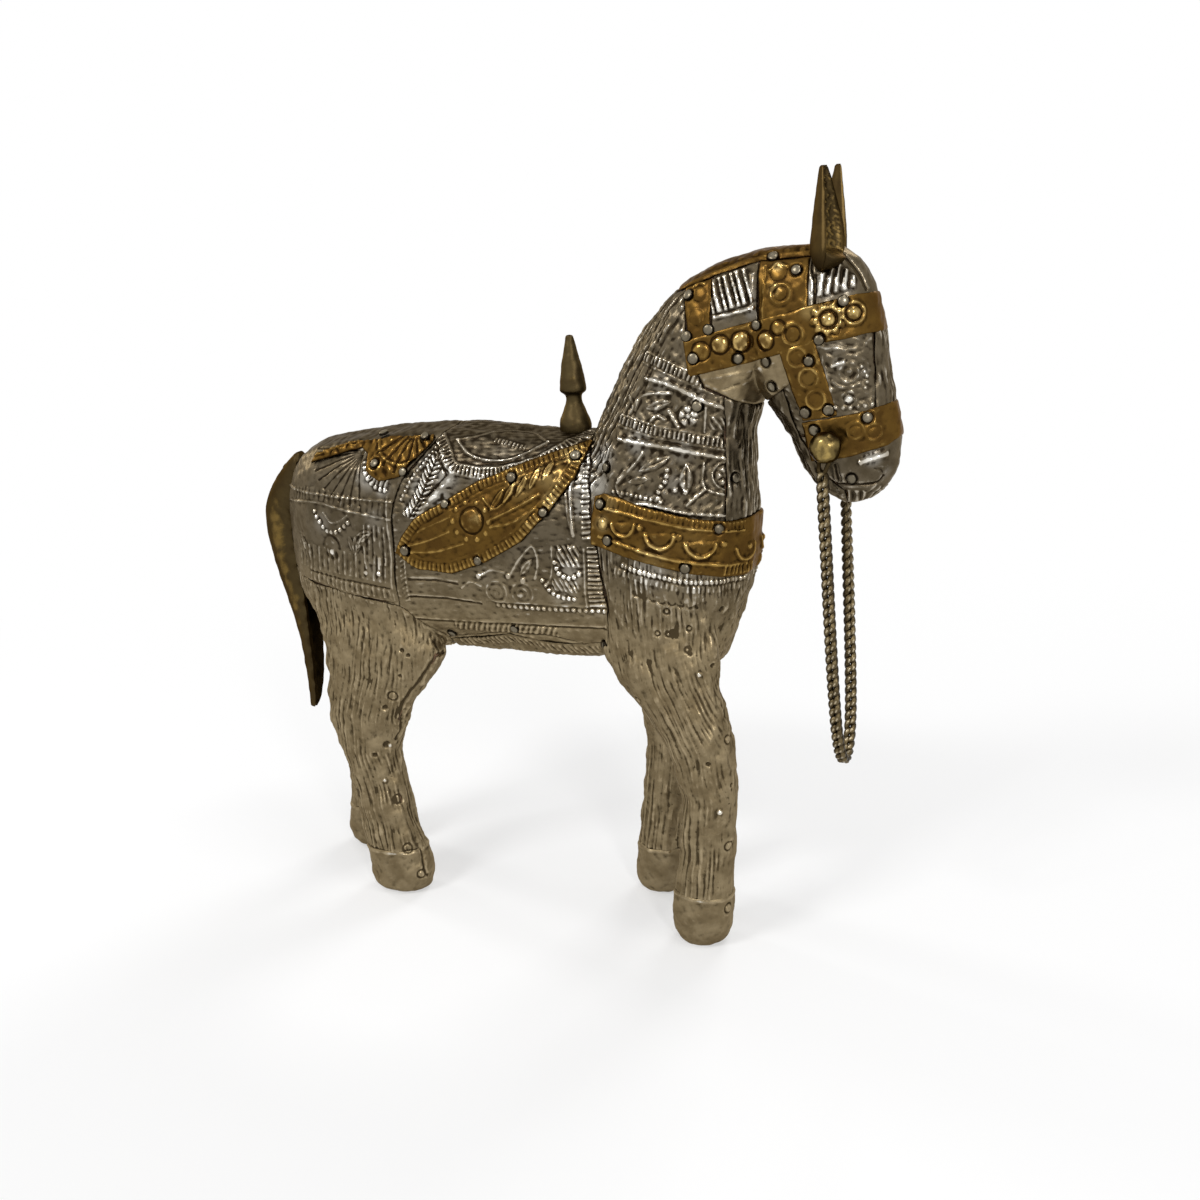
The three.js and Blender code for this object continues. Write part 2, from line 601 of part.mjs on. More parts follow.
// Rein bosses: a domed stud on each side of the noseband, with a neck that carries the end ring of the rein
const neckStart = NOSEBAND_FACE + CLEARANCE + BOSS.collar;
const domeStart = neckStart + BOSS.neck;
const bossProfile = [
  [TANG_RADIUS, NOSEBAND_FACE + CLEARANCE - BOSS.tangDepth],
  [TANG_RADIUS, NOSEBAND_FACE + CLEARANCE],
  [BOSS.collarRadius, NOSEBAND_FACE + CLEARANCE],
  [BOSS.collarRadius, neckStart],
  [BOSS.neckRadius, neckStart],
  [BOSS.neckRadius, domeStart],
  [BOSS.domeRadius, domeStart],
  [BOSS.domeRadius * 0.9, domeStart + BOSS.dome * 0.45],
  [BOSS.domeRadius * 0.55, domeStart + BOSS.dome * 0.86],
  [BOSS.domeRadius * 0.2, domeStart + BOSS.dome],
];
for (const [side, sign] of [["right", -1], ["left", 1]]) {
  const stud = turned(bossProfile, CAST_SIDES).rotateX((-sign * Math.PI) / 2).translate(REIN.x, 0, REIN.z);
  castings.set(`rein_boss_${side}`, { solid: solidOf(stud), material: CAST_BRASS });
  const outer = new THREE.Vector3(REIN.x, sign * NOSEBAND_FACE, REIN.z);
  drill(TANG_RADIUS, outer, new THREE.Vector3(0, -sign, 0), BOSS.tangDepth);
}

// End rings: flat eyes round the boss necks, with a lug that the chain hangs from
const ringMiddle = neckStart + BOSS.neck / 2;
function endRing(sign) {
  const eye = new THREE.Shape();
  const half = RING.lugWidth / 2;
  const start = Math.asin(half / RING.outer);
  eye.moveTo(half, -RING.lugReach);
  eye.lineTo(half, -RING.outer * Math.cos(start));
  eye.absarc(0, 0, RING.outer, -Math.PI / 2 + start, 1.5 * Math.PI - start, false);
  eye.lineTo(-half, -RING.lugReach);
  const bore = new THREE.Path().absarc(0, 0, BOSS.neckRadius + CLEARANCE, 0, 2 * Math.PI, true);
  eye.holes.push(bore);
  const geometry = new THREE.ExtrudeGeometry(eye, {
    depth: RING.thickness,
    bevelEnabled: false,
    curveSegments: RING.steps,
  });
  return geometry
    .translate(0, 0, -RING.thickness / 2)
    .rotateX(Math.PI / 2)
    .rotateY(RING.lugTurn)
    .translate(REIN.x, sign * ringMiddle, REIN.z);
}
castings.set("rein_end_ring_right", { solid: solidOf(endRing(-1)), material: CAST_BRASS });
castings.set("rein_end_ring_left", { solid: solidOf(endRing(1)), material: CAST_BRASS });

// Chain: hangs from the two lugs, leaning a little towards the muzzle, and turns round below in a wide bight
const lugEnd = RING.lugReach + CHAIN_GAP;
const chainTop = { x: REIN.x - lugEnd * Math.sin(RING.lugTurn), z: REIN.z - lugEnd * Math.cos(RING.lugTurn) };
const chainHalf = [
  [ringMiddle, chainTop.z], [ringMiddle, 138], [13.2, 125], [12.8, 111], [12.3, 98], [11.5, 86],
  [10.5, 77], [9.2, 70.2], [7, 64.4], [3.8, 60.6], [0, 59.3],
];
const chainPoint = (y, z) => new THREE.Vector3(chainTop.x + CHAIN_LEAN * (chainTop.z - z), y, z);
const chainPoints = [
  ...chainHalf.map(([y, z]) => chainPoint(-y, z)),
  ...reversed(chainHalf).slice(1).map(([y, z]) => chainPoint(y, z)),
];
const chainSection = new THREE.Shape(
  Array.from({ length: CHAIN_SIDES }, (_, k) => {
    const angle = (2 * Math.PI * k) / CHAIN_SIDES;
    return new THREE.Vector2(Math.cos(angle), Math.sin(angle)).multiplyScalar(CHAIN_DIAMETER / 2);
  }),
);
const chainTube = new THREE.ExtrudeGeometry(chainSection, {
  steps: CHAIN_STEPS,
  bevelEnabled: false,
  extrudePath: new THREE.CatmullRomCurve3(chainPoints, false, "centripetal"),
});
castings.set("rein_chain", { solid: solidOf(chainTube), material: CAST_BRASS });

// Tacks: the side of the horse is probed from outside to find each seat and its normal
const probe = new THREE.Raycaster();
const overBrass = new THREE.Mesh(geometryOf(horseAt(BRASS_OUTER)));
const underTacks = horseAt(BRASS_OUTER + CLEARANCE);
function seatAt(x, z, sign) {
  probe.set(new THREE.Vector3(x, sign * SIDE_REACH, z), new THREE.Vector3(0, -sign, 0));
  const [hit] = probe.intersectObject(overBrass);
  return { point: hit.point, normal: hit.face.normal };
}
for (const [place, [x, z]] of Object.entries(TACKS)) {
  for (const [side, sign] of [["right", -1], ["left", 1]]) {
    const { point, normal } = seatAt(x, z, sign);
    const inwards = normal.clone().negate();
    const seat = point.clone().addScaledVector(normal, CLEARANCE);
    const profile = [
      [TACK.headRadius, 0],
      [TACK.headRadius * 0.8, TACK.headHeight * 0.6],
      [TACK.headRadius * 0.35, TACK.headHeight],
    ];
    const turn = new THREE.Quaternion().setFromUnitVectors(Z_AXIS, normal);
    const head = turned(profile, TACK.sides).applyQuaternion(turn).translate(seat.x, seat.y, seat.z);
    const shankTop = seat.clone().addScaledVector(normal, CLEARANCE);
    const shank = cylinderAlong(TACK.shankRadius, shankTop, inwards, TACK.length, TACK.shankSides);
    const bedded = solidOf(head).subtract(underTacks);
    castings.set(`tack_${place}_${side}`, { solid: bedded.add(shank), material: TACK_METAL });
    drill(TACK.shankRadius, seat, inwards, TACK.length);
  }
}

// An outline can graze the skin and leave a crumb beside the piece, so each piece is its largest body
function mainBody(solid) {
  return solid.decompose().reduce((best, body) => (body.volume() > best.volume() ? body : best));
}
for (const [name, { solid, material }] of [...pieces, ...castings]) {
  addPiece(name, mainBody(solid), material);
}

// The origin lies under the middle of everything but the chain and its rings
const solidBox = new THREE.Box3();
for (const mesh of horse.children) {
  if (!mesh.name.startsWith("rein_chain") && !mesh.name.startsWith("rein_end_ring")) {
    solidBox.expandByObject(mesh);
  }
}
horse.position.x = -(solidBox.min.x + solidBox.max.x) / 2;

export default horse;
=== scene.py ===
import math

import bpy
import bmesh
import numpy as np
from mathutils import Matrix, Vector
from mathutils.bvhtree import BVHTree


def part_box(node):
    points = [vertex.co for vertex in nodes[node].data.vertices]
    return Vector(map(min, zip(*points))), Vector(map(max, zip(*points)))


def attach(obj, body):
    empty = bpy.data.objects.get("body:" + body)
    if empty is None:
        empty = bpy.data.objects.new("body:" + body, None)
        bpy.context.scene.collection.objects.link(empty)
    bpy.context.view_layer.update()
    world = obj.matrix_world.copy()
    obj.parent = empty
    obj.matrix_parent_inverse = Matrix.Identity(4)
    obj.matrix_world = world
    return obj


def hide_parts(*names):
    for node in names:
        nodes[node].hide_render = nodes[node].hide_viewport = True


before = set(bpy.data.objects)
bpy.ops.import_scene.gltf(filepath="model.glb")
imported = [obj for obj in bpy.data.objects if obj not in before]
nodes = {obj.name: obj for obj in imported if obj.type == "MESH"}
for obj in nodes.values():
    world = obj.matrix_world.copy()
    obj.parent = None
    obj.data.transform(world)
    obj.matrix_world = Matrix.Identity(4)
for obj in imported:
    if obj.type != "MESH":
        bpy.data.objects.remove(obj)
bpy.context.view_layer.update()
scene = bpy.context.scene
scene.view_settings.view_transform = "Standard"

# Camera. The horse is seen from its right, from a little ahead of it and above, about 370 mm away. The
# camera is held slightly askew.
CAMERA_PLACE = Vector((0.1621, -0.3274, 0.1986))
CAMERA_ROUND = math.radians(24.05)
CAMERA_DOWN = math.radians(15)
CAMERA_ASKEW = math.radians(3)
LENS_MM = 36
FILM_MM = 36
NEAREST_SEEN = 0.01
forward = Vector(
    (
        -math.sin(CAMERA_ROUND) * math.cos(CAMERA_DOWN),
        math.cos(CAMERA_ROUND) * math.cos(CAMERA_DOWN),
        -math.sin(CAMERA_DOWN),
    )
)
level = Vector((math.cos(CAMERA_ROUND), math.sin(CAMERA_ROUND), 0))
below = forward.cross(level)
across = math.cos(CAMERA_ASKEW) * level + math.sin(CAMERA_ASKEW) * below
upward = math.sin(CAMERA_ASKEW) * level - math.cos(CAMERA_ASKEW) * below
camera = bpy.data.objects.new("camera", bpy.data.cameras.new("camera"))
camera.data.lens = LENS_MM
camera.data.sensor_width = FILM_MM
camera.data.clip_start = NEAREST_SEEN
facing = Matrix((across, upward, -forward)).transposed().to_4x4()
camera.matrix_world = Matrix.Translation(CAMERA_PLACE) @ facing
scene.collection.objects.link(camera)
scene.camera = camera


# Rein chain. A brass curb chain: oval wire links, each twisted so that the chain lies flat, hung from the two
# bosses on the noseband. Its route follows the same points as the frame's tube.
MM = 0.001
SHARP_EDGE = math.radians(55)
CURVE_STEPS = 40
REIN_PIVOT = Vector((0.08994, 0, 0.1525))
LUG_END = 0.00635
LUG_TURN = 0.2
CHAIN_LEAN = 0.04
CHAIN_WIDTH = 0.0036
# y and z of the right half of the route, in mm, from the boss to the lowest point
CHAIN_HALF = [
    (13.8, 146.28), (13.8, 138), (13.2, 125), (12.8, 111), (12.3, 98), (11.5, 86), (10.5, 77), (9.2, 70.2),
    (7, 64.4), (3.8, 60.6), (0, 59.3),
]
LINK_LENGTH = 0.0050
LINK_PITCH = 0.0027
ROUTE_STEP = LINK_PITCH / 6
LINK_TWIST = 0.00055
LINK_WIRE = 0.00088
LINK_STEPS = 20
WIRE_SIDES = 8
# share of the chain's length, turn of the links about it: the far strand turns more and more towards its boss
CHAIN_TURN = ((0.55, 0.9), (0, 1.25))


class Wire:
    """One output in a material's node tree. Arithmetic on it adds Math nodes."""

    def __init__(self, tree, socket):
        self.tree = tree
        self.socket = socket

    def math(self, operation, *values):
        return add_node(self.tree, "ShaderNodeMath", {"operation": operation}, values)

    def __add__(self, other):
        return self.math("ADD", self, other)

    __radd__ = __add__

    def __sub__(self, other):
        return self.math("SUBTRACT", self, other)

    def __rsub__(self, other):
        return self.math("SUBTRACT", other, self)

    def __mul__(self, other):
        return self.math("MULTIPLY", self, other)

    __rmul__ = __mul__

    def between(self, low, high):
        """0 at low, 1 at high, and smooth from one to the other."""
        ends = {"From Min": low, "From Max": high}
        smooth = {"interpolation_type": "SMOOTHSTEP"}
        return add_node(self.tree, "ShaderNodeMapRange", smooth, {"Value": self, **ends})


def add_node(tree, kind, settings=(), inputs=(), output=0):
    """Adds a node, sets it up, and fills its sockets with values or links, by name or by order."""
    node = tree.nodes.new(kind)
    for name, value in dict(settings).items():
        setattr(node, name, value)
    pairs = inputs.items() if isinstance(inputs, dict) else enumerate(inputs)
    for key, value in pairs:
        if isinstance(value, Wire):
            tree.links.new(value.socket, node.inputs[key])
        else:
            node.inputs[key].default_value = value
    return Wire(tree, node.outputs[output])


def blend_colours(tree, factor, low, high):
    """A colour that goes from low to high with the factor."""
    return add_node(tree, "ShaderNodeMix", {"data_type": "RGBA"}, {0: factor, 6: low, 7: high}, output=2)


def surface_value(tree, name):
    """A value that is stored at the mesh's points."""
    return add_node(tree, "ShaderNodeAttribute", {"attribute_name": name}, output=2)


def start_material(name, **uniform):
    """A material with one Principled shader, whose uniform values are set on its own sockets."""
    material = bpy.data.materials.new(name)
    material.use_nodes = True
    shader = material.node_tree.nodes["Principled BSDF"]
    for socket, value in uniform.items():
        shader.inputs[socket.replace("_", " ")].default_value = value
    return material, material.node_tree, shader


def feed(tree, shader, **wires):
    """Links wires into the shader's sockets."""
    for socket, wire in wires.items():
        tree.links.new(wire.socket, shader.inputs[socket.replace("_", " ")])


def noise_on(tree, size_mm, detail=2.0, roughness=0.5, stretch=(1, 1, 1)):
    """Noise over the object's own coordinates, with grains of about this size."""
    place = add_node(tree, "ShaderNodeTexCoord", output=3)
    point = {"vector_type": "POINT"}
    scaled = add_node(tree, "ShaderNodeMapping", point, {"Vector": place, "Scale": stretch})
    inputs = {"Vector": scaled, "Scale": 1 / (size_mm * MM), "Detail": detail, "Roughness": roughness}
    return add_node(tree, "ShaderNodeTexNoise", {}, inputs)


def bump_from(tree, height, distance_mm, strength=1.0):
    """A fine bump that follows a height."""
    inputs = {"Strength": strength, "Distance": distance_mm * MM, "Height": height}
    return add_node(tree, "ShaderNodeBump", {}, inputs)


def new_object(name, points, faces, material, body="horse", attributes=None):
    """A smooth-shaded piece from points in metres and triangles or quads, riding on a body."""
    mesh = bpy.data.meshes.new(name)
    faces = np.asarray(faces, np.int32)
    sides = faces.shape[1]
    mesh.vertices.add(len(points))
    mesh.vertices.foreach_set("co", np.asarray(points, np.float32).ravel())
    mesh.loops.add(faces.size)
    mesh.loops.foreach_set("vertex_index", faces.ravel())
    mesh.polygons.add(len(faces))
    mesh.polygons.foreach_set("loop_start", np.arange(len(faces), dtype=np.int32) * sides)
    mesh.update(calc_edges=True)
    mesh.validate()
    mesh.shade_smooth()
    mesh.set_sharp_from_angle(angle=SHARP_EDGE)
    for attribute, values in (attributes or {}).items():
        stored = mesh.attributes.new(attribute, "FLOAT", "POINT")
        stored.data.foreach_set("value", values.astype(np.float32))
    mesh.materials.append(material)
    piece = bpy.data.objects.new(name, mesh)
    scene.collection.objects.link(piece)
    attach(piece, body)
    return piece


def tube_rings(centres, side_ways, thick_ways, radius, steps):
    """Rings of a round bar along its centres, one row of points for each centre."""
    angles = np.arange(steps) * 2 * math.pi / steps
    circle = np.stack([np.cos(angles), np.sin(angles)], 1) * radius
    spread = circle[None, :, 0, None] * side_ways[:, None] + circle[None, :, 1, None] * thick_ways[:, None]
    return centres[:, None] + spread


def ring_faces(rings, steps, closed):
    """Quads between rings of points, closed round each ring, and along them as well if asked."""
    last = rings if closed else rings - 1
    i, k = np.meshgrid(np.arange(last), np.arange(steps), indexing="ij")
    j, m = (i + 1) % rings, (k + 1) % steps
    return np.stack([i * steps + k, j * steps + k, j * steps + m, i * steps + m], -1).reshape(-1, 4)


def smooth_curve(points, spacing, closed=False):
    """Points at even spacing along a Catmull-Rom curve through the given ones."""
    points = np.asarray(points, float)
    if closed:
        points = np.vstack([points[-1:], points, points[:2]])
    else:
        points = np.vstack([2 * points[0] - points[1], points, 2 * points[-1] - points[-2]])
    dense = []
    for a, b, c, d in zip(points, points[1:], points[2:], points[3:]):
        t = np.linspace(0, 1, CURVE_STEPS, endpoint=False)[:, None]
        bent = (2 * a - 5 * b + 4 * c - d) * t**2 + (3 * b - a - 3 * c + d) * t**3
        dense.append(0.5 * (2 * b + (c - a) * t + bent))
    dense = np.vstack([*dense, points[-2:-1]])
    along = np.concatenate([[0], np.cumsum(np.linalg.norm(np.diff(dense, axis=0), axis=1))])
    count = max(2, round(along[-1] / spacing) + 1)
    even = np.linspace(0, along[-1], count)
    return np.stack([np.interp(even, along, dense[:, axis]) for axis in range(points.shape[1])], 1)


chain_start = REIN_PIVOT.x - LUG_END * math.sin(LUG_TURN)
half = np.array(CHAIN_HALF) * MM
both = np.vstack([half * [-1, 1], half[-2::-1]])
leaning = chain_start + CHAIN_LEAN * (half[0, 1] - both[:, 1])
chain_path = smooth_curve(np.column_stack([leaning, both[:, 0], both[:, 1]]), ROUTE_STEP)
chain_along = np.concatenate([[0], np.cumsum(np.linalg.norm(np.diff(chain_path, axis=0), axis=1))])
chain_length = float(chain_along[-1])
link_count = round((chain_length - LINK_LENGTH) / LINK_PITCH) + 1
link_centres = np.linspace(LINK_LENGTH / 2, chain_length - LINK_LENGTH / 2, link_count)
round_link = np.arange(LINK_STEPS) * 2 * math.pi / LINK_STEPS
link_points = []
link_faces = []
link_crests = []
for number, centre in enumerate(link_centres):
    spots = centre + LINK_PITCH * np.array([-1, 0, 1])
    behind, middle, ahead = np.stack([np.interp(spots, chain_along, part) for part in chain_path.T], 1)
    tangent = (ahead - behind) / np.linalg.norm(ahead - behind)
    sideways = np.array([1.0, 0, 0]) - tangent * tangent[0]
    sideways /= np.linalg.norm(sideways)
    turn = np.interp(centre / chain_length, *CHAIN_TURN)
    sideways = math.cos(turn) * sideways + math.sin(turn) * np.cross(tangent, sideways)
    outward = np.cross(tangent, sideways)
    wide = CHAIN_WIDTH / 2 - LINK_WIRE
    wire = (
        middle
        + np.outer(np.cos(round_link) * (LINK_LENGTH / 2 - LINK_WIRE), tangent)
        + np.outer(np.sin(round_link) * wide, sideways)
        + np.outer(np.sin(2 * round_link) * LINK_TWIST, outward)
    )
    run = np.roll(wire, -1, 0) - np.roll(wire, 1, 0)
    run /= np.linalg.norm(run, axis=1)[:, None]
    first = np.cross(run, outward)
    first /= np.linalg.norm(first, axis=1)[:, None]
    rings = tube_rings(wire, first, np.cross(run, first), LINK_WIRE, WIRE_SIDES)
    link_points.append(rings.reshape(-1, 3))
    link_crests.append(np.abs((rings - middle) @ outward).ravel() / (LINK_WIRE + LINK_TWIST))
    link_faces.append(ring_faces(LINK_STEPS, WIRE_SIDES, closed=True) + number * LINK_STEPS * WIRE_SIDES)

chain_brass, tree, shader = start_material("chain_brass", Metallic=0.9, Specular_IOR_Level=0.5)
tarnish = noise_on(tree, 2.2, detail=3)
fine_noise = noise_on(tree, 0.35, detail=2)
colour = blend_colours(tree, tarnish.between(0.38, 0.62), (0.07, 0.05, 0.022, 1), (0.15, 0.112, 0.055, 1))
# painted shade in the crevices, where the wire lies in the chain's plane, and a painted highlight on the
# crest of each link
crest = surface_value(tree, "crest")
colour = blend_colours(tree, (crest + 0.2 * fine_noise).between(0.35, 0.75), (0.035, 0.024, 0.01, 1), colour)
colour = blend_colours(tree, (crest + 0.1 * fine_noise).between(0.9, 1.08), colour, (0.66, 0.57, 0.4, 1))
relief = bump_from(tree, fine_noise, 0.05, 0.5)
feed(tree, shader, Base_Color=colour, Roughness=0.3 + 0.25 * fine_noise, Normal=relief)
attributes = {"crest": np.concatenate(link_crests)}
points, faces = np.vstack(link_points), np.vstack(link_faces)
chain = new_object("rein_curb_chain", points, faces, chain_brass, "rein", attributes)
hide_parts("rein_chain")


# Lights and floor. A white floor and backdrop, soft light from above and in front, and a few narrow bright
# windows that the embossed metal picks up as glints.
FLOOR_REACH = 30
FLOOR_FADE = (0.12, 0.55)
FLOOR_GLOW = 0.45
BACK_LIGHT = 0.42
LAMPS = [
    # place, aim, width, height, watts
    ((-0.38, -0.72, 0.85), (0, 0, 0.12), 0.3, 0.14, 4.2),
    ((0.62, -0.75, 0.55), (0.05, 0, 0.12), 0.12, 0.3, 3.0),
    ((0.35, -0.15, 1.0), (0.02, 0, 0.12), 0.3, 0.12, 1.6),
    ((0.1, 0.8, 0.7), (0, 0, 0.12), 0.4, 0.16, 3.0),
    ((-0.85, 0.2, 0.5), (-0.05, 0, 0.12), 0.14, 0.3, 1.7),
]


def showing_rays(tree):
    """1 for the rays that show the surroundings, and 0 for those that only light."""
    rays = tree.nodes.new("ShaderNodeLightPath")
    names = ("Is Camera Ray", "Is Glossy Ray", "Is Transmission Ray")
    straight, glossy, through = [Wire(tree, rays.outputs[name]) for name in names]
    return straight.math("MAXIMUM", straight, glossy.math("MAXIMUM", glossy, through))


world = bpy.data.worlds.new("studio")
world.use_nodes = True
scene.world = world
tree = world.node_tree
tree.nodes.clear()
strength = BACK_LIGHT + (1 - BACK_LIGHT) * showing_rays(tree)
background = add_node(tree, "ShaderNodeBackground", {}, {"Color": (1, 1, 1, 1), "Strength": strength})
sky = tree.nodes.new("ShaderNodeOutputWorld")
tree.links.new(background.socket, sky.inputs["Surface"])
for number, (place, aim, wide, high, watts) in enumerate(LAMPS):
    lamp = bpy.data.objects.new(f"lamp_{number}", bpy.data.lights.new(f"lamp_{number}", "AREA"))
    lamp.data.shape = "RECTANGLE"
    lamp.data.size = wide
    lamp.data.size_y = high
    lamp.data.energy = watts
    lamp.location = place
    lamp.rotation_euler = (Vector(aim) - Vector(place)).to_track_quat("-Z", "Y").to_euler()
    scene.collection.objects.link(lamp)

floor_mesh = bpy.data.meshes.new("floor")
corners = [(FLOOR_REACH * x, FLOOR_REACH * y, 0) for x, y in ((-1, -1), (1, -1), (1, 1), (-1, 1))]
floor_mesh.from_pydata(corners, [], [(0, 1, 2, 3)])
floor = bpy.data.objects.new("floor", floor_mesh)
scene.collection.objects.link(floor)
floor_paint, tree, shader = start_material("floor_paint", Base_Color=(0.88, 0.88, 0.88, 1), Roughness=0.9)
showing = showing_rays(tree)
place = add_node(tree, "ShaderNodeNewGeometry")
away = add_node(tree, "ShaderNodeVectorMath", {"operation": "LENGTH"}, [place], output=1)
glow = add_node(tree, "ShaderNodeEmission", {}, {"Strength": BACK_LIGHT + (1 - BACK_LIGHT) * showing})
lit = Wire(tree, shader.outputs[0])
paint = add_node(tree, "ShaderNodeMixShader", {}, [away.between(*FLOOR_FADE), lit, glow])
lifted = add_node(tree, "ShaderNodeMixShader", {}, [FLOOR_GLOW * showing, paint, glow])
tree.links.new(lifted.socket, tree.nodes["Material Output"].inputs["Surface"])
floor_mesh.materials.append(floor_paint)


# Carved wooden body. One piece of hardwood that shows only in the seams. Its rounded form, cleared of the peg
# holes and of the frame's flats, is what every sheet is laid on. From here on sizes are in mm, and x is
# counted from the drawing's own middle, which the finial ties to the frame's.
FINIAL_X = 14.6
finial_low, finial_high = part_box("saddle_finial")
SHIFT = FINIAL_X - (finial_low.x + finial_high.x) / 2 / MM
PIT_DEPTH = 1.2
MERGE = 0.02
GRID = 0.7
ROUNDING = 90
SHEET_LIFT = 1.0
SHEET = 0.7
# first words of the names of the nodes that are laid on the wood
SHEETED = (
    "rump", "barrel", "belly", "front", "hind", "neck", "mane", "throat", "jowl", "cheek", "poll", "forelock",
    "nose", "muzzle", "jaw",
)
core = nodes["wooden_core"]
sheet_nodes = [name for name in nodes if name.split("_")[0] in SHEETED]


def in_frame(points):
    """Points in the frame's metres."""
    return (points - [SHIFT, 0, 0]) * MM


def joined_tree(names):
    """A search tree over the faces of several nodes."""
    points = []
    faces = []
    for name in names:
        mesh = nodes[name].data
        faces += [[index + len(points) for index in polygon.vertices] for polygon in mesh.polygons]
        points += [vertex.co.copy() for vertex in mesh.vertices]
    return BVHTree.FromPolygons(points, faces)


def without_pits(mesh, cover):
    """A copy of the mesh whose peg holes are gone: their floors lie deeper under the sheets than the rest."""
    body = bmesh.new()
    body.from_mesh(mesh)
    bmesh.ops.remove_doubles(body, verts=body.verts, dist=MERGE * MM)
    deep = [vertex for vertex in body.verts if cover.find_nearest(vertex.co)[3] > PIT_DEPTH * MM]
    bmesh.ops.delete(body, geom=deep, context="VERTS")
    rims = [edge for edge in body.edges if edge.is_boundary]
    bmesh.ops.holes_fill(body, edges=rims, sides=0)
    bmesh.ops.triangulate(body, faces=body.faces)
    filled = bpy.data.meshes.new("filled")
    body.to_mesh(filled)
    body.free()
    return filled


def modified(mesh, *modifiers):
    """The mesh after a row of modifiers, each given as its type and its settings."""
    holder = bpy.data.objects.new("holder", mesh)
    scene.collection.objects.link(holder)
    for kind, settings in modifiers:
        modifier = holder.modifiers.new(kind, kind)
        for name, value in settings.items():
            setattr(modifier, name, value)
    view = bpy.context.evaluated_depsgraph_get()
    result = bpy.data.meshes.new_from_object(holder.evaluated_get(view))
    bpy.data.objects.remove(holder)
    return result


def points_of(mesh):
    """The places of a mesh's vertices."""
    points = np.empty(len(mesh.vertices) * 3, np.float32)
    mesh.vertices.foreach_get("co", points)
    return points.reshape(-1, 3).astype(float)


def rounded(mesh):
    """Smooths a mesh, and gives back what the smoothing took off on average, so that it keeps its size."""
    smoothing = ("SMOOTH", {"factor": 0.5, "iterations": ROUNDING})
    before = points_of(mesh)
    after = points_of(modified(mesh, smoothing))
    for _ in range(2):
        lost = mesh.copy()
        lost.vertices.foreach_set("co", (before - after).astype(np.float32).ravel())
        after = after + points_of(modified(lost, smoothing))
    mesh.vertices.foreach_set("co", after.astype(np.float32).ravel())
    return mesh


def normals_of(points, triangles):
    """Vertex normals, weighted by area."""
    a, b, c = (points[triangles[:, corner]] for corner in range(3))
    flat = np.cross(b - a, c - a)
    total = [np.bincount(triangles.ravel(), np.repeat(flat[:, axis], 3), len(points)) for axis in range(3)]
    normals = np.stack(total, 1)
    return normals / np.maximum(np.linalg.norm(normals, axis=1)[:, None], 1e-12)


even_grid = ("REMESH", {"mode": "VOXEL", "voxel_size": GRID * MM})
carved = rounded(modified(without_pits(core.data, joined_tree(sheet_nodes)), even_grid))
carved_body = bmesh.new()
carved_body.from_mesh(carved)
bmesh.ops.triangulate(carved_body, faces=carved_body.faces)
carved_body.to_mesh(carved)
carved_body.free()
skin_triangles = np.empty(len(carved.polygons) * 3, np.int32)
carved.polygons.foreach_get("vertices", skin_triangles)
skin_triangles = skin_triangles.reshape(-1, 3)
skin = points_of(carved) / MM + [SHIFT, 0, 0]
skin_normals = normals_of(skin, skin_triangles)
skin = skin + skin_normals * SHEET_LIFT
skin_tree = BVHTree.FromPolygons(skin.tolist(), skin_triangles.tolist())

wood, tree, shader = start_material("carved_wood", Specular_IOR_Level=0.3)
grain = noise_on(tree, 1.2, detail=5, stretch=(0.12, 1, 1))
pores = noise_on(tree, 0.3, detail=2, stretch=(0.2, 1, 1))
colour = blend_colours(tree, grain.between(0.35, 0.65), (0.05, 0.028, 0.014, 1), (0.16, 0.09, 0.045, 1))
relief = bump_from(tree, grain, 0.15, 0.6)
feed(tree, shader, Base_Color=colour, Roughness=0.6 + 0.25 * pores, Normal=relief)
core.data.materials.clear()
core.data.materials.append(wood)


# Sheet metal. Thin sheet is cut to shape, laid on the wood, chased in relief and tacked down. Every sheet
# here is a closed shell on the body, whose outer face is moved by the chasing and whose edges turn down.
SEAM = 0.3
BRASS_LIFT = 1.0
EDGE_TURN = 0.8
EDGE_DROP = 0.3
EDGE_WANDER = 0.12
DENT = 0.12
DENT_SIZE = 7
FINE_DENT = 0.066
FINE_DENT_SIZE = 2.6
RUB_DENT = 0.09
RUB_DENT_SIZE = 3.4
WANDER_SIZE = 9
BACK_RISE = -0.3
PATH_STEP = 0.5
BLOCK = 4000
# from this z down, over this height, the white metal turns matt and is painted lighter, a painted reflection
# of the floor
MATT_FLOOR_SHEEN_FROM = 122
MATT_FLOOR_SHEEN_OVER = 26
BLUR_STEPS = 12
HEAD_LIFT = 0.55
UPWARD_SHADE = 0.11
TACK_RADIUS = 1.55
DIMPLE_DEPTH = 0.35
DIMPLE_WIDTH = 0.32
# y of a place beyond either side of the horse, and of one near its middle
CLEAR = 60
NEAR_MIDDLE = 8
# x, z in the side view of the tacks through the white metal, through the brass, and along the poll
WHITE_TACKS = [
    (-51, 152.5), (30.6, 146.6), (66.9, 143.1), (58, 163.5), (-1.5, 96.9), (-25.3, 93), (27, 93.6),
    (77.5, 168), (76.3, 174.7), (98.9, 143.3),
]
BRASS_TACKS = [
    (-46, 146.6), (-35.2, 144.6), (-30.4, 154.2), (-47, 154.6), (-20, 135.6), (-9.8, 118.9), (12.4, 133.8),
    (32, 126.2), (55, 119.3), (63.2, 129.8), (57.2, 176.3), (68.9, 175.9), (74.2, 184.5), (55.4, 182.2),
    (61.5, 183.8), (91.2, 180.2), (96.9, 189.7), (88.5, 174.9), (87.1, 161.3), (93.5, 162), (103.1, 159.8),
    (89.4, 156.6),
]
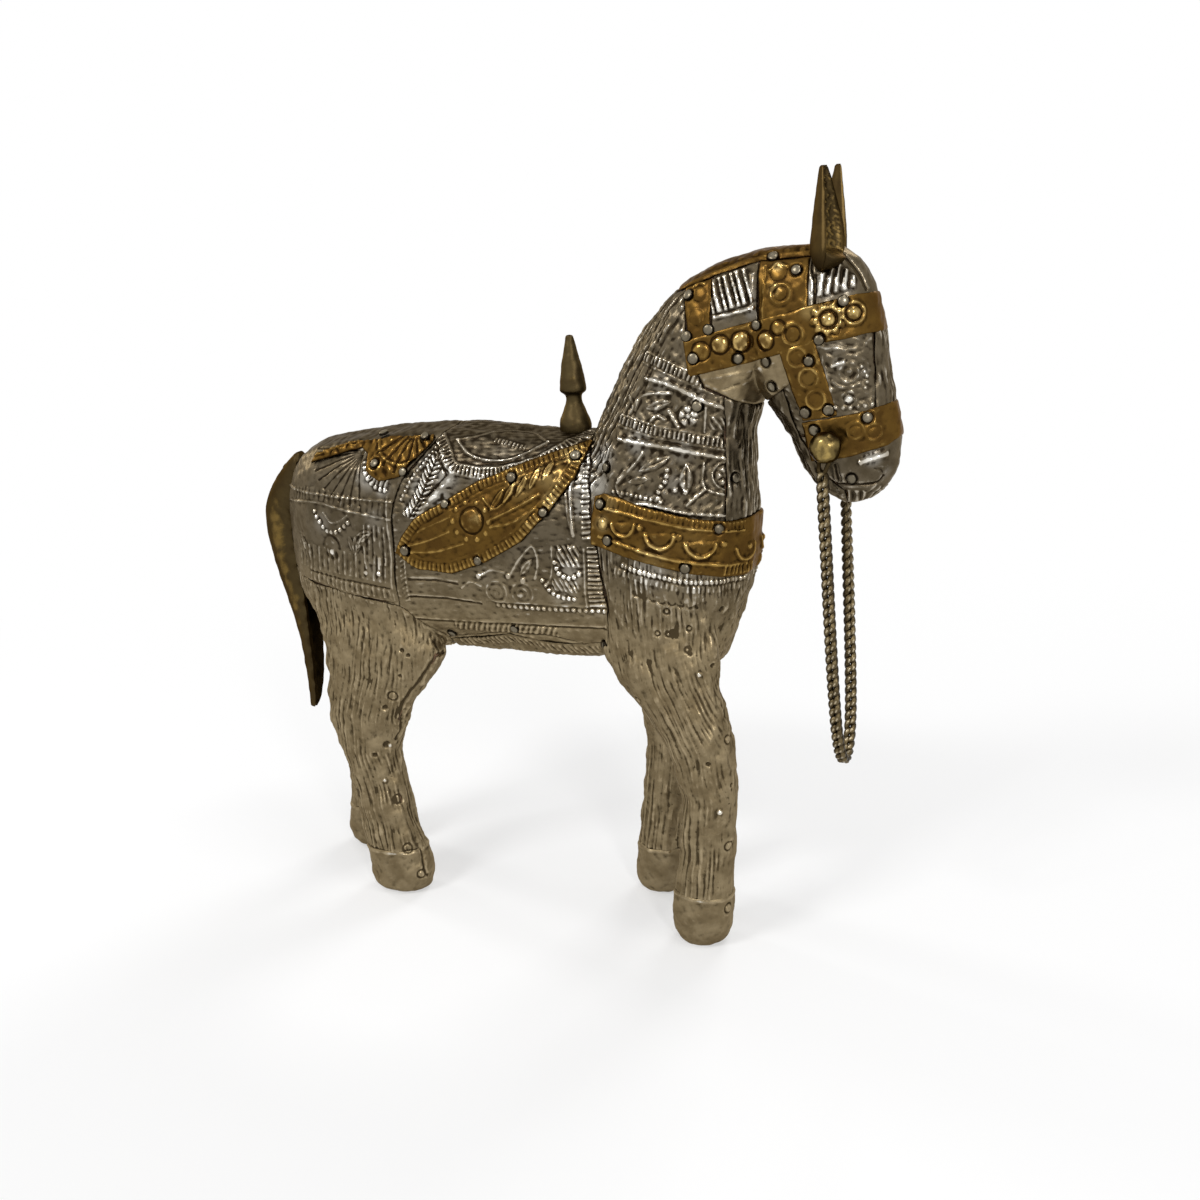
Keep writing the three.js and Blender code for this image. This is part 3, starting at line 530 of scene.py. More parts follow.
# x and z from which on the overlays are those of the head
HEAD_FROM = (50, 145)
POLL_TACKS = [(55, 193.1), (84.6, 198.1), (77.8, 201.9)]
FRAME_TACKS = {
    "saddle_rear": (-35, 121), "saddle_front": (20.5, 149), "saddle_top": (2, 143.5), "breast": (29.7, 136.3),
}


def waves(points, size, seed, count=14):
    """Smooth noise of about -1 to 1 with features of this size, summed from plane waves."""
    dice = np.random.default_rng(seed)
    total = np.zeros(len(points))
    for _ in range(count):
        direction = dice.normal(size=3)
        direction /= np.linalg.norm(direction)
        length = size * dice.uniform(0.7, 1.6)
        total += np.sin(points @ direction * 2 * math.pi / length + dice.uniform(0, 2 * math.pi))
    return total / math.sqrt(count / 2) / 1.4


def inside_distance(places, outline):
    """Distance in the side view from the edge of an outline, positive inside it."""
    corners = np.asarray(outline, float)
    nearest = np.full(len(places), np.inf)
    inside = np.zeros(len(places), bool)
    for start, end in zip(corners, np.roll(corners, -1, 0)):
        edge = end - start
        offset = places - start
        part = np.clip(offset @ edge / (edge @ edge), 0, 1)
        nearest = np.minimum(nearest, np.linalg.norm(offset - part[:, None] * edge, axis=1))
        if edge[1]:
            crosses = (start[1] > places[:, 1]) != (end[1] > places[:, 1])
            inside ^= crosses & (places[:, 0] < start[0] + (places[:, 1] - start[1]) * edge[0] / edge[1])
    return np.where(inside, nearest, -nearest)


def cut_out(rows, triangles, field):
    """The part of a mesh where the field is positive. The rows are cut along with it."""
    keep = field[triangles] > 0
    count = keep.sum(1)
    mixed = (count == 1) | (count == 2)
    part = triangles[mixed]
    lone = np.argmax(keep[mixed] == (count[mixed] == 1)[:, None], 1)
    turned = np.stack([part[np.arange(len(part)), (lone + step) % 3] for step in range(3)], 1)
    pairs = np.sort(np.vstack([turned[:, [0, 1]], turned[:, [0, 2]]]), 1)
    edges, which = np.unique(pairs, axis=0, return_inverse=True)
    which = which.ravel() + len(rows)
    share = field[edges[:, 0]] / (field[edges[:, 0]] - field[edges[:, 1]])
    added = rows[edges[:, 0]] + share[:, None] * (rows[edges[:, 1]] - rows[edges[:, 0]])
    near, far = which[: len(part)], which[len(part) :]
    single = count[mixed] == 1
    tips = np.stack([turned[:, 0], near, far], 1)[single]
    first = np.stack([near, turned[:, 1], turned[:, 2]], 1)[~single]
    second = np.stack([near, turned[:, 2], far], 1)[~single]
    faces = np.vstack([triangles[count == 3], tips, first, second])
    return packed(np.vstack([rows, added]), faces)


def packed(rows, faces):
    """The rows that the faces use, and the faces renumbered to them."""
    used, inverse = np.unique(faces, return_inverse=True)
    return rows[used], inverse.reshape(faces.shape)


def seat(x, z, side=-1):
    """Where a place in the side view lies on the skin, and the normal there."""
    spot, normal, _, _ = skin_tree.ray_cast(Vector((x, side * CLEAR, z)), Vector((0, -side, 0)))
    if spot is None:
        spot, normal, _, _ = skin_tree.find_nearest(Vector((x, side * NEAR_MIDDLE, z)))
    return np.array(spot), np.array(normal)


def straight_steps(places, spacing):
    """Points at even spacing along straight lines through the given ones."""
    places = np.asarray(places, float)
    along = np.concatenate([[0], np.cumsum(np.linalg.norm(np.diff(places, axis=0), axis=1))])
    even = np.linspace(0, along[-1], max(2, round(along[-1] / spacing) + 1))
    return np.stack([np.interp(even, along, places[:, axis]) for axis in range(2)], 1)


class Relief:
    """The height to which a sheet is chased. Places are given in the side view, as x and z."""

    def __init__(self, points, normals, side):
        self.points = points
        self.normals = normals
        self.side = side
        self.height = np.zeros(len(points))
        self.gloss_and_glint = np.zeros(len(points))

    def seat(self, x, z):
        """A place on the skin of the sheet's own side, folded over to the right like its points."""
        fold = np.array([1, -self.side, 1])
        spot, normal = seat(x, z, self.side)
        return spot * fold, normal * fold

    def near(self, spot, reach):
        """The points in a box round a spot."""
        return np.flatnonzero((np.abs(self.points - spot) < reach).all(1))

    def stamp(self, place, reach, shape, turn=0.0):
        """Adds shape(a, b), with a towards the head and b upwards, in mm from the place."""
        spot, normal = self.seat(*place)
        ahead = np.array([1.0, 0, 0]) - normal * normal[0]
        ahead /= np.linalg.norm(ahead)
        up = np.cross(normal, ahead)
        rows = self.near(spot, reach)
        offset = self.points[rows] - spot
        a, b = offset @ ahead, offset @ up
        c, s = math.cos(turn), math.sin(turn)
        self.height[rows] += shape(c * a + s * b, c * b - s * a)

    def gloss_and_glint_spot(self, place, radius, amount=1.0):
        """Makes a patch smoother and paints a highlight on it, and dents it, so that it breaks up the light.
        """
        spot, _ = self.seat(*place)
        rows = self.near(spot, 2.2 * radius)
        offset = self.points[rows] - spot
        share = amount * np.exp(-(((offset**2).sum(1) / radius**2) ** 1.5))
        self.gloss_and_glint[rows] = np.maximum(self.gloss_and_glint[rows], share)
        self.height[rows] += RUB_DENT * share * waves(self.points[rows], RUB_DENT_SIZE, 91)

    def gloss_and_glint_spots(self, *patches):
        """Makes patches smoother and paints highlights on them, each given as its place, radius and amount.
        """
        for patch in patches:
            self.gloss_and_glint_spot(*patch)

    def dome(self, place, radius, height):
        """A round bump."""

        def bump(a, b):
            return height * np.clip(1 - (a**2 + b**2) / radius**2, 0, 1) ** 0.7

        self.stamp(place, radius + 1, bump)

    def ring(self, place, radius, width=0.35, height=0.35):
        """A round line."""
        self.stamp(place, radius + 2, pressed_ring(radius, -height, width))

    def leaf(self, place, length, width, height, turn=0.0):
        """A pointed leaf: domed, with a chased rib down its middle."""

        def shape(a, b):
            half = width / 2 * np.clip(1 - (2 * a / length) ** 2, 0.001, 1)
            body = np.clip(1 - (b / half) ** 2, 0, 1) ** 0.6 * (np.abs(a) < length / 2)
            return height * body - 0.5 * height * body * np.exp(-((b / 0.3) ** 2))

        self.stamp(place, length, shape, turn)

    def flower(self, place, radius, petals, height, eye=0.3, turn=0.0):
        """Petals round a raised eye."""

        def shape(a, b):
            r = np.hypot(a, b) / radius
            lobes = np.abs(np.cos(np.arctan2(b, a) * petals / 2))
            petal = np.clip(1 - ((r - 0.62) / 0.4) ** 2, 0, 1) ** 0.6 * lobes**0.6
            return height * np.maximum(petal, np.clip(1 - (r / eye) ** 2, 0, 1) ** 0.6)

        self.stamp(place, radius + 1, shape, turn)

    def follow(self, places, reach, curved=True):
        """Rows near a path over the skin, with how far along it they are and how far to its left."""
        steps = smooth_curve if curved and len(places) > 2 else straight_steps
        flat = steps(places, PATH_STEP)
        seats = [self.seat(x, z) for x, z in flat]
        route = np.array([spot for spot, _ in seats])
        facing = np.array([normal for _, normal in seats])
        ahead = np.gradient(route, axis=0)
        ahead /= np.linalg.norm(ahead, axis=1)[:, None]
        left = np.cross(facing, ahead)
        left /= np.linalg.norm(left, axis=1)[:, None]
        along = np.concatenate([[0], np.cumsum(np.linalg.norm(np.diff(route, axis=0), axis=1))])
        low, high = route.min(0) - reach - 1, route.max(0) + reach + 1
        rows = np.flatnonzero(((self.points > low) & (self.points < high)).all(1))
        if not len(rows):
            return rows, np.zeros(0), np.zeros(0), along[-1]
        nearest = np.empty(len(rows), int)
        for start in range(0, len(rows), BLOCK):
            part = self.points[rows[start : start + BLOCK]]
            nearest[start : start + BLOCK] = np.argmin((route**2).sum(1) - 2 * part @ route.T, 1)
        offset = self.points[rows] - route[nearest]
        t = along[nearest] + (offset * ahead[nearest]).sum(1)
        d = (offset * left[nearest]).sum(1)
        close = (np.linalg.norm(offset, axis=1) < reach + 1) & (np.abs(d) < reach)
        return rows[close], t[close], d[close], along[-1]

    def line(self, places, height=0.35, width=0.4, offset=0.0, curved=True):
        """A raised line, or a chased groove where the height is negative."""
        rows, t, d, length = self.follow(places, abs(offset) + 3 * width, curved)
        ends = np.clip((t + width) / width, 0, 1) * np.clip((length + width - t) / width, 0, 1)
        self.height[rows] += height * np.exp(-(((d - offset) / width) ** 2)) * ends

    def ribs(self, places, low, high, pitch=1.5, height=0.35, slant=0.0, sharp=1.0, curved=True):
        """Short ribs across a path, between two distances to its left."""
        rows, t, d, length = self.follow(places, max(abs(low), abs(high)) + 0.5, curved)
        window = np.clip((d - low) / 0.5 + 0.5, 0, 1) * np.clip((high - d) / 0.5 + 0.5, 0, 1)
        window *= np.clip(t / 0.5 + 1, 0, 1) * np.clip((length - t) / 0.5 + 1, 0, 1)
        phase = 2 * math.pi * (t + slant * d) / pitch + 0.5 * np.sin(t * 1.7)
        self.height[rows] += height * window * (0.5 + 0.5 * np.cos(phase)) ** sharp

    def beads(self, places, pitch=1.9, radius=0.8, height=0.5, offset=0.0, curved=True):
        """A row of round bumps along a path."""
        rows, t, d, length = self.follow(places, abs(offset) + radius + 0.3, curved)
        nearest = np.clip(np.round(t / pitch), 0, max(0, math.floor(length / pitch))) * pitch
        spread = ((t - nearest) ** 2 + (d - offset) ** 2) / radius**2
        self.height[rows] += height * np.clip(1 - spread, 0, 1) ** 0.7

    def scallops(self, places, pitch, radius, height=0.4, width=0.4, flip=1, curved=True):
        """A row of U-shaped raised arcs that hang from a path, or stand on it where flip is -1."""
        rows, t, d, length = self.follow(places, radius + 1.5, curved)
        across = (t % pitch) - pitch / 2
        below_path = np.clip(0.4 - flip * d, 0, 1)
        arc = np.exp(-(((np.hypot(across, d) - radius) / width) ** 2))
        self.height[rows] += height * arc * below_path * ((t > 0) & (t < length))

    def edge(self, distance):
        """Turns the sheet down along its edge."""
        self.height -= EDGE_DROP * np.clip(1 - distance / EDGE_TURN, 0, 1) ** 2


def pressed_ring(radius, depth, width=DIMPLE_WIDTH):
    """A round groove, as a shape for a stamp."""
    return lambda a, b: -depth * np.exp(-(((np.hypot(a, b) - radius) / width) ** 2))


def neighbour_mean(values, triangles, steps):
    """The values after each has been blended with its neighbours this many times."""
    ends = np.vstack([triangles[:, [0, 1]], triangles[:, [1, 2]], triangles[:, [2, 0]]])
    count = np.bincount(ends.ravel(), minlength=len(values))
    for _ in range(steps):
        total = np.bincount(ends[:, 0], values[ends[:, 1]], len(values))
        total += np.bincount(ends[:, 1], values[ends[:, 0]], len(values))
        values = 0.5 * values + 0.5 * total / np.maximum(count, 1)
    return values


def halved(rows, triangles):
    """Splits each triangle in four. Gives the new rows, and the faces with the midpoints of the edges."""
    pairs = np.sort(np.vstack([triangles[:, [0, 1]], triangles[:, [1, 2]], triangles[:, [2, 0]]]), 1)
    edges, which = np.unique(pairs, axis=0, return_inverse=True)
    ab, bc, ca = np.split(which.ravel() + len(rows), 3)
    a, b, c = triangles.T
    quarters = ((a, ab, ca), (ab, b, bc), (ca, bc, c), (ab, bc, ca))
    faces = np.vstack([np.stack(quarter, 1) for quarter in quarters])
    return np.vstack([rows, rows[edges].mean(1)]), faces, (a, b, c, ab, bc, ca)


def near_outline(outline, low, high, margin=2):
    """The part of the skin round an outline in the side view, between two sides."""
    corners = np.asarray(outline, float)
    x, y, z = skin.T
    reach = (x > corners[:, 0].min() - margin) & (x < corners[:, 0].max() + margin)
    reach &= (z > corners[:, 1].min() - margin) & (z < corners[:, 1].max() + margin)
    reach &= (y > low - margin) & (y < high + margin)
    return packed(np.hstack([skin, skin_normals]), skin_triangles[reach[skin_triangles].all(1)])


def closed_shell(fine_faces, faces, corners, under):
    """The fine outer faces, the coarse inner ones, and walls round the rim between them."""
    a, b, c, ab, bc, ca = corners
    directed = np.vstack([np.stack(edge, 1) for edge in ((a, b, ab), (b, c, bc), (c, a, ca))])
    _, where, times = np.unique(np.sort(directed[:, :2], 1), axis=0, return_index=True, return_counts=True)
    start, end, middle = directed[where[times == 1]].T
    walls = [(middle, start, start + under), (end, middle, end + under), (middle, start + under, end + under)]
    return np.vstack([fine_faces, faces[:, ::-1] + under, *[np.stack(wall, 1) for wall in walls]])


def lay_sheet(name, outline, sides, sheet, chase, lift=0.0, matt_and_painted_light=0.0, seam=SEAM):
    """Cuts a sheet out of the skin by its outline in the side view, between two sides of the horse, and
    chases it. Towards the legs the white metal gets rougher and is painted lighter and warmer, a painted
    reflection of the pale floor."""
    low, high = sides
    material, slot = sheet

    def edge_distance(rows):
        wander = EDGE_WANDER * waves(rows[:, :3] * [1, 0, 1], WANDER_SIZE, len(name))
        return inside_distance(rows[:, [0, 2]], outline) - seam / 2 + wander

    rows, faces = near_outline(outline, low, high)
    rows, faces = cut_out(rows, faces, rows[:, 1] - low)
    rows, faces = cut_out(rows, faces, high - rows[:, 1])
    rows, faces = cut_out(rows, faces, edge_distance(rows))
    fine, fine_faces, corners = halved(rows, faces)
    points, normals = fine[:, :3], fine[:, 3:]
    normals = normals / np.linalg.norm(normals, axis=1)[:, None]
    mirror = np.where(points[:, 1:2] > 0, -1, 1)
    turn = np.hstack([np.ones_like(mirror), mirror, np.ones_like(mirror)])
    relief = Relief(points * turn, normals * turn, 1 if low > 0 else -1)
    relief.height += DENT * waves(points, DENT_SIZE, 3) + FINE_DENT * waves(points, FINE_DENT_SIZE, 4)
    chase(relief)
    for place in [*BRASS_TACKS, *FRAME_TACKS.values()] if lift else [*WHITE_TACKS, *POLL_TACKS]:
        if inside_distance(np.array([place]), outline)[0] > 0:
            relief.stamp(place, 4, pressed_ring(TACK_RADIUS, DIMPLE_DEPTH))
    relief.edge(edge_distance(fine))
    rise = relief.height - neighbour_mean(relief.height, fine_faces, BLUR_STEPS)
    # painted shade: faces that look upwards are made darker
    rise -= UPWARD_SHADE * np.clip(normals[:, 2], 0, 1)
    outer = points + normals * (lift + relief.height)[:, None]
    outer[:, 2] = np.maximum(outer[:, 2], 0)
    count = len(rows)
    inner = rows[:, :3] + normals[:count] * (lift - SHEET)
    shell = closed_shell(fine_faces, faces, corners, len(outer))
    # rougher and painted lighter towards the legs, a painted reflection of the pale floor
    matt_floor_sheen = np.clip((MATT_FLOOR_SHEEN_FROM - points[:, 2]) / MATT_FLOOR_SHEEN_OVER, 0, 1) if material is white_metal else 0 * rise
    attributes = {
        "rise": np.concatenate([rise, np.full(count, BACK_RISE)]),
        "matt_and_painted_light": np.concatenate([np.maximum(matt_floor_sheen, matt_and_painted_light), np.full(count, 1.0)]),
        "gloss_and_glint": np.concatenate([np.clip(relief.gloss_and_glint, 0, 1), np.zeros(count)]),
    }
    piece = new_object(name, in_frame(np.vstack([outer, inner])), shell, material, "horse", attributes)
    return piece


def metal(name, patina, middle, stain, ridge, glint_colour, rough, matt_painted_colours, grazing):
    """Chased metal: dark in the hollows, brighter on the ridges and blotched in between. Where the sheet's
    matt value is 1 it is rougher and takes the four matt colours: light, dark, in the hollows and on the
    ridges, which on the white metal are a painted reflection of the pale floor and on the brass painted
    shade.
    Where its glint value is 1 it is smoother and lifted towards the glint colour, a painted highlight."""
    material, tree, shader = start_material(name, Metallic=1.0, Specular_Tint=grazing)
    rise, matt_and_painted_light, gloss_and_glint = [surface_value(tree, value) for value in ("rise", "matt_and_painted_light", "gloss_and_glint")]
    blotch = noise_on(tree, 6, detail=4, roughness=0.6)
    speck = noise_on(tree, 0.5, detail=3, roughness=0.6)
    worn = rise + 0.12 * (speck - 0.5) + 0.1 * (blotch - 0.5)
    light, dark, hollow, crest = matt_painted_colours
    clean = blend_colours(tree, blotch.between(0.4, 0.66), middle, stain)
    # painted highlight: the glint value lifts the colour towards the glint colour
    clean = blend_colours(tree, 0.26 * gloss_and_glint * gloss_and_glint, clean, glint_colour)
    plain = blend_colours(tree, blotch.between(0.3, 0.7), light, dark)
    colour = blend_colours(tree, matt_and_painted_light, clean, plain)
    deep = blend_colours(tree, matt_and_painted_light, patina, hollow)
    colour = blend_colours(tree, worn.between(-0.16, -0.01), deep, colour)
    # painted highlight: on the ridges the glint value gives the glint colour in full
    top = blend_colours(tree, gloss_and_glint, blend_colours(tree, matt_and_painted_light, ridge, crest), glint_colour)
    colour = blend_colours(tree, worn.between(0.05, 0.2), colour, top)
    smooth, matt = rough
    roughness = smooth + (matt - smooth) * (1 - worn.between(0.0, 0.16))
    roughness = roughness + 0.1 * blotch + 0.12 * matt_and_painted_light - 0.14 * gloss_and_glint
    feed(tree, shader, Base_Color=colour, Roughness=roughness, Normal=bump_from(tree, speck, 0.03, 0.5))
    return material


# matt colours: light, dark, in the hollows and on the ridges. The white ones are lighter and warmer than the
# clean metal, a painted reflection of the pale floor; the brown ones are darker, painted shade
WHITE_MATT_FLOOR_SHEEN = [
    (0.27, 0.212, 0.124, 1), (0.168, 0.126, 0.068, 1), (0.066, 0.048, 0.025, 1), (0.36, 0.285, 0.175, 1),
]
BROWN_MATT_SHADED = [
    (0.052, 0.032, 0.01, 1), (0.036, 0.022, 0.008, 1), (0.016, 0.01, 0.004, 1), (0.13, 0.086, 0.034, 1),
]
WHITE_GRAZING = (0.7, 0.64, 0.56, 1)
white_metal = metal(
    "white_metal",
    patina=(0.02, 0.014, 0.008, 1),
    middle=(0.12, 0.096, 0.062, 1),
    stain=(0.08, 0.062, 0.037, 1),
    ridge=(0.4, 0.355, 0.28, 1),
    glint_colour=(0.9, 0.87, 0.79, 1),
    rough=(0.12, 0.34),
    matt_painted_colours=WHITE_MATT_FLOOR_SHEEN,
    grazing=WHITE_GRAZING,
)
brass_sheet = metal(
    "brass_sheet",
    patina=(0.02, 0.01, 0.003, 1),
    middle=(0.115, 0.063, 0.014, 1),
    stain=(0.08, 0.042, 0.01, 1),
    ridge=(0.32, 0.2, 0.055, 1),
    glint_colour=(0.85, 0.63, 0.26, 1),
    rough=(0.12, 0.32),
    matt_painted_colours=BROWN_MATT_SHADED,
    grazing=(0.7, 0.6, 0.52, 1),
)
WHITE = (white_metal, "white_metal_sheet")
BRASS = (brass_sheet, "brass_sheet")
BOTH = (-CLEAR, CLEAR)
SIGNS = {"right": -1, "left": 1}
SIDES = {"right": (-CLEAR, -SEAM / 2), "left": (SEAM / 2, CLEAR)}
# corners that neighbouring sheets share, as x and z in the side view
SPINE_TO_FLANK = [(-21, 167.5), (-25, 155.5), (-36, 142.5), (-39, 135.5), (-41, 102)]
RUMP_FOOT = [(-115, 112.5), (-75, 107.5), (-41, 102)]
BELLY_SEAM = [(-41, 102), (-27, 90.5), (-4, 94.5), (13, 92.3), (25, 93), (29, 94)]
GIRTH = [(29, 94), (30, 105.5), (28, 123.5), (26.5, 133.5), (25, 147.5), (21.5, 157.5), (20, 167.5)]


# Rump plates. White metal over the croup and down to the haunch, chased on each side with two ribbed bands
# and a half flower.
def chase_rump(relief):
    """Two ribbed bands, with a flower and leaves between them, and rays and beads round the brass fan."""
    band_top = [(-88, 137.5), (-72, 137), (-55, 136.2), (-38, 135.5)]
    band_foot = [(-88, 133), (-70, 134.3), (-55, 132.2), (-38, 130)]
    relief.line(band_top, 0.26, 0.35)
    relief.line(band_foot, 0.3, 0.35)
    relief.ribs(band_foot, 0.7, 4.6, 2.2, 0.2)
    relief.line([(-75, 111.8), (-60, 110), (-43, 108)], -0.35, 0.35)
    relief.line([(-76, 107.9), (-60, 105), (-43, 102.9)], -0.3, 0.3)
    relief.ribs([(-75, 108.5), (-60, 106), (-43, 103.8)], 0.3, 4.2, 2.0, 0.28)
    relief.ribs([(-80, 112.5), (-60, 111.2), (-43, 109.4)], 0.4, 8.5, 2.2, 0.26)
    relief.beads(
        [(-70, 131.5), (-67.5, 128), (-65, 125.6), (-61, 125.6), (-57.5, 127.5), (-55, 129.5)], 2.0, 0.8, 0.6,
    )
    relief.line([(-66, 131.5), (-63, 128.5), (-59.5, 129), (-56, 131)], 0.25, 0.3)
    relief.ring((-64, 120.5), 3.6, 0.7, -0.3)
    relief.dome((-64, 120.5), 2.6, 0.35)
    relief.dome((-63.5, 118.9), 1.0, 0.5)
    relief.gloss_and_glint_spot((-63.5, 118.5), 1.2, 0.8)
    for number in range(6):
        angle = -0.2 - number * 0.32
        place = (-54.5 + 4.6 * math.cos(angle), 126.5 + 5 * math.sin(angle))
        relief.leaf(place, 6.4, 1.9, 0.45, -angle)
    for number in range(5):
        angle = math.pi + 0.1 + number * 0.34
        place = (-73.5 + 4.4 * math.cos(angle), 124 + 5 * math.sin(angle))
        relief.leaf(place, 6, 1.7, 0.3, -angle)
    for x in (-51, -46):
        relief.dome((x, 112.9), 0.9, 0.7)
        relief.line([(x, 124), (x + 0.4, 114.5)], 0.3, 0.5)
    relief.ribs([(-50, 129), (-41.5, 128.5)], -13, -0.5, 1.9, 0.28)
    for number in range(9):
        angle = math.radians(182 + number * 11)
        end = (-51.5 + 21 * math.cos(angle), 151 + 17 * math.sin(angle))
        relief.line([(-52.5, 150.4), end], -0.3, 0.4)
    relief.beads([(-50.5, 147), (-49, 143), (-45.5, 139.8), (-41, 138.8)], 1.9, 0.85, 0.55)
    relief.ribs([(-51, 148), (-48.5, 141.5), (-42, 138.5)], 0.8, 4, 1.6, 0.4)
    relief.gloss_and_glint_spots(
        ((-48.5, 143), 5), ((-43, 139.5), 3), ((-67, 128), 4, 0.6), ((-47.5, 113.5), 3.5, 0.6),
        ((-46, 130), 4, 0.5),
    )
    relief.line([(-41.2, 137), (-41, 120), (-42.3, 104)], 0.25, 0.35)


for side, reach in SIDES.items():
    outline = [(-115, 167.5), *SPINE_TO_FLANK, *RUMP_FOOT[1::-1]]
    plate = lay_sheet(f"rump_sheet_{side}", outline, reach, WHITE, chase_rump)
    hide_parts(f"rump_plate_{side}")


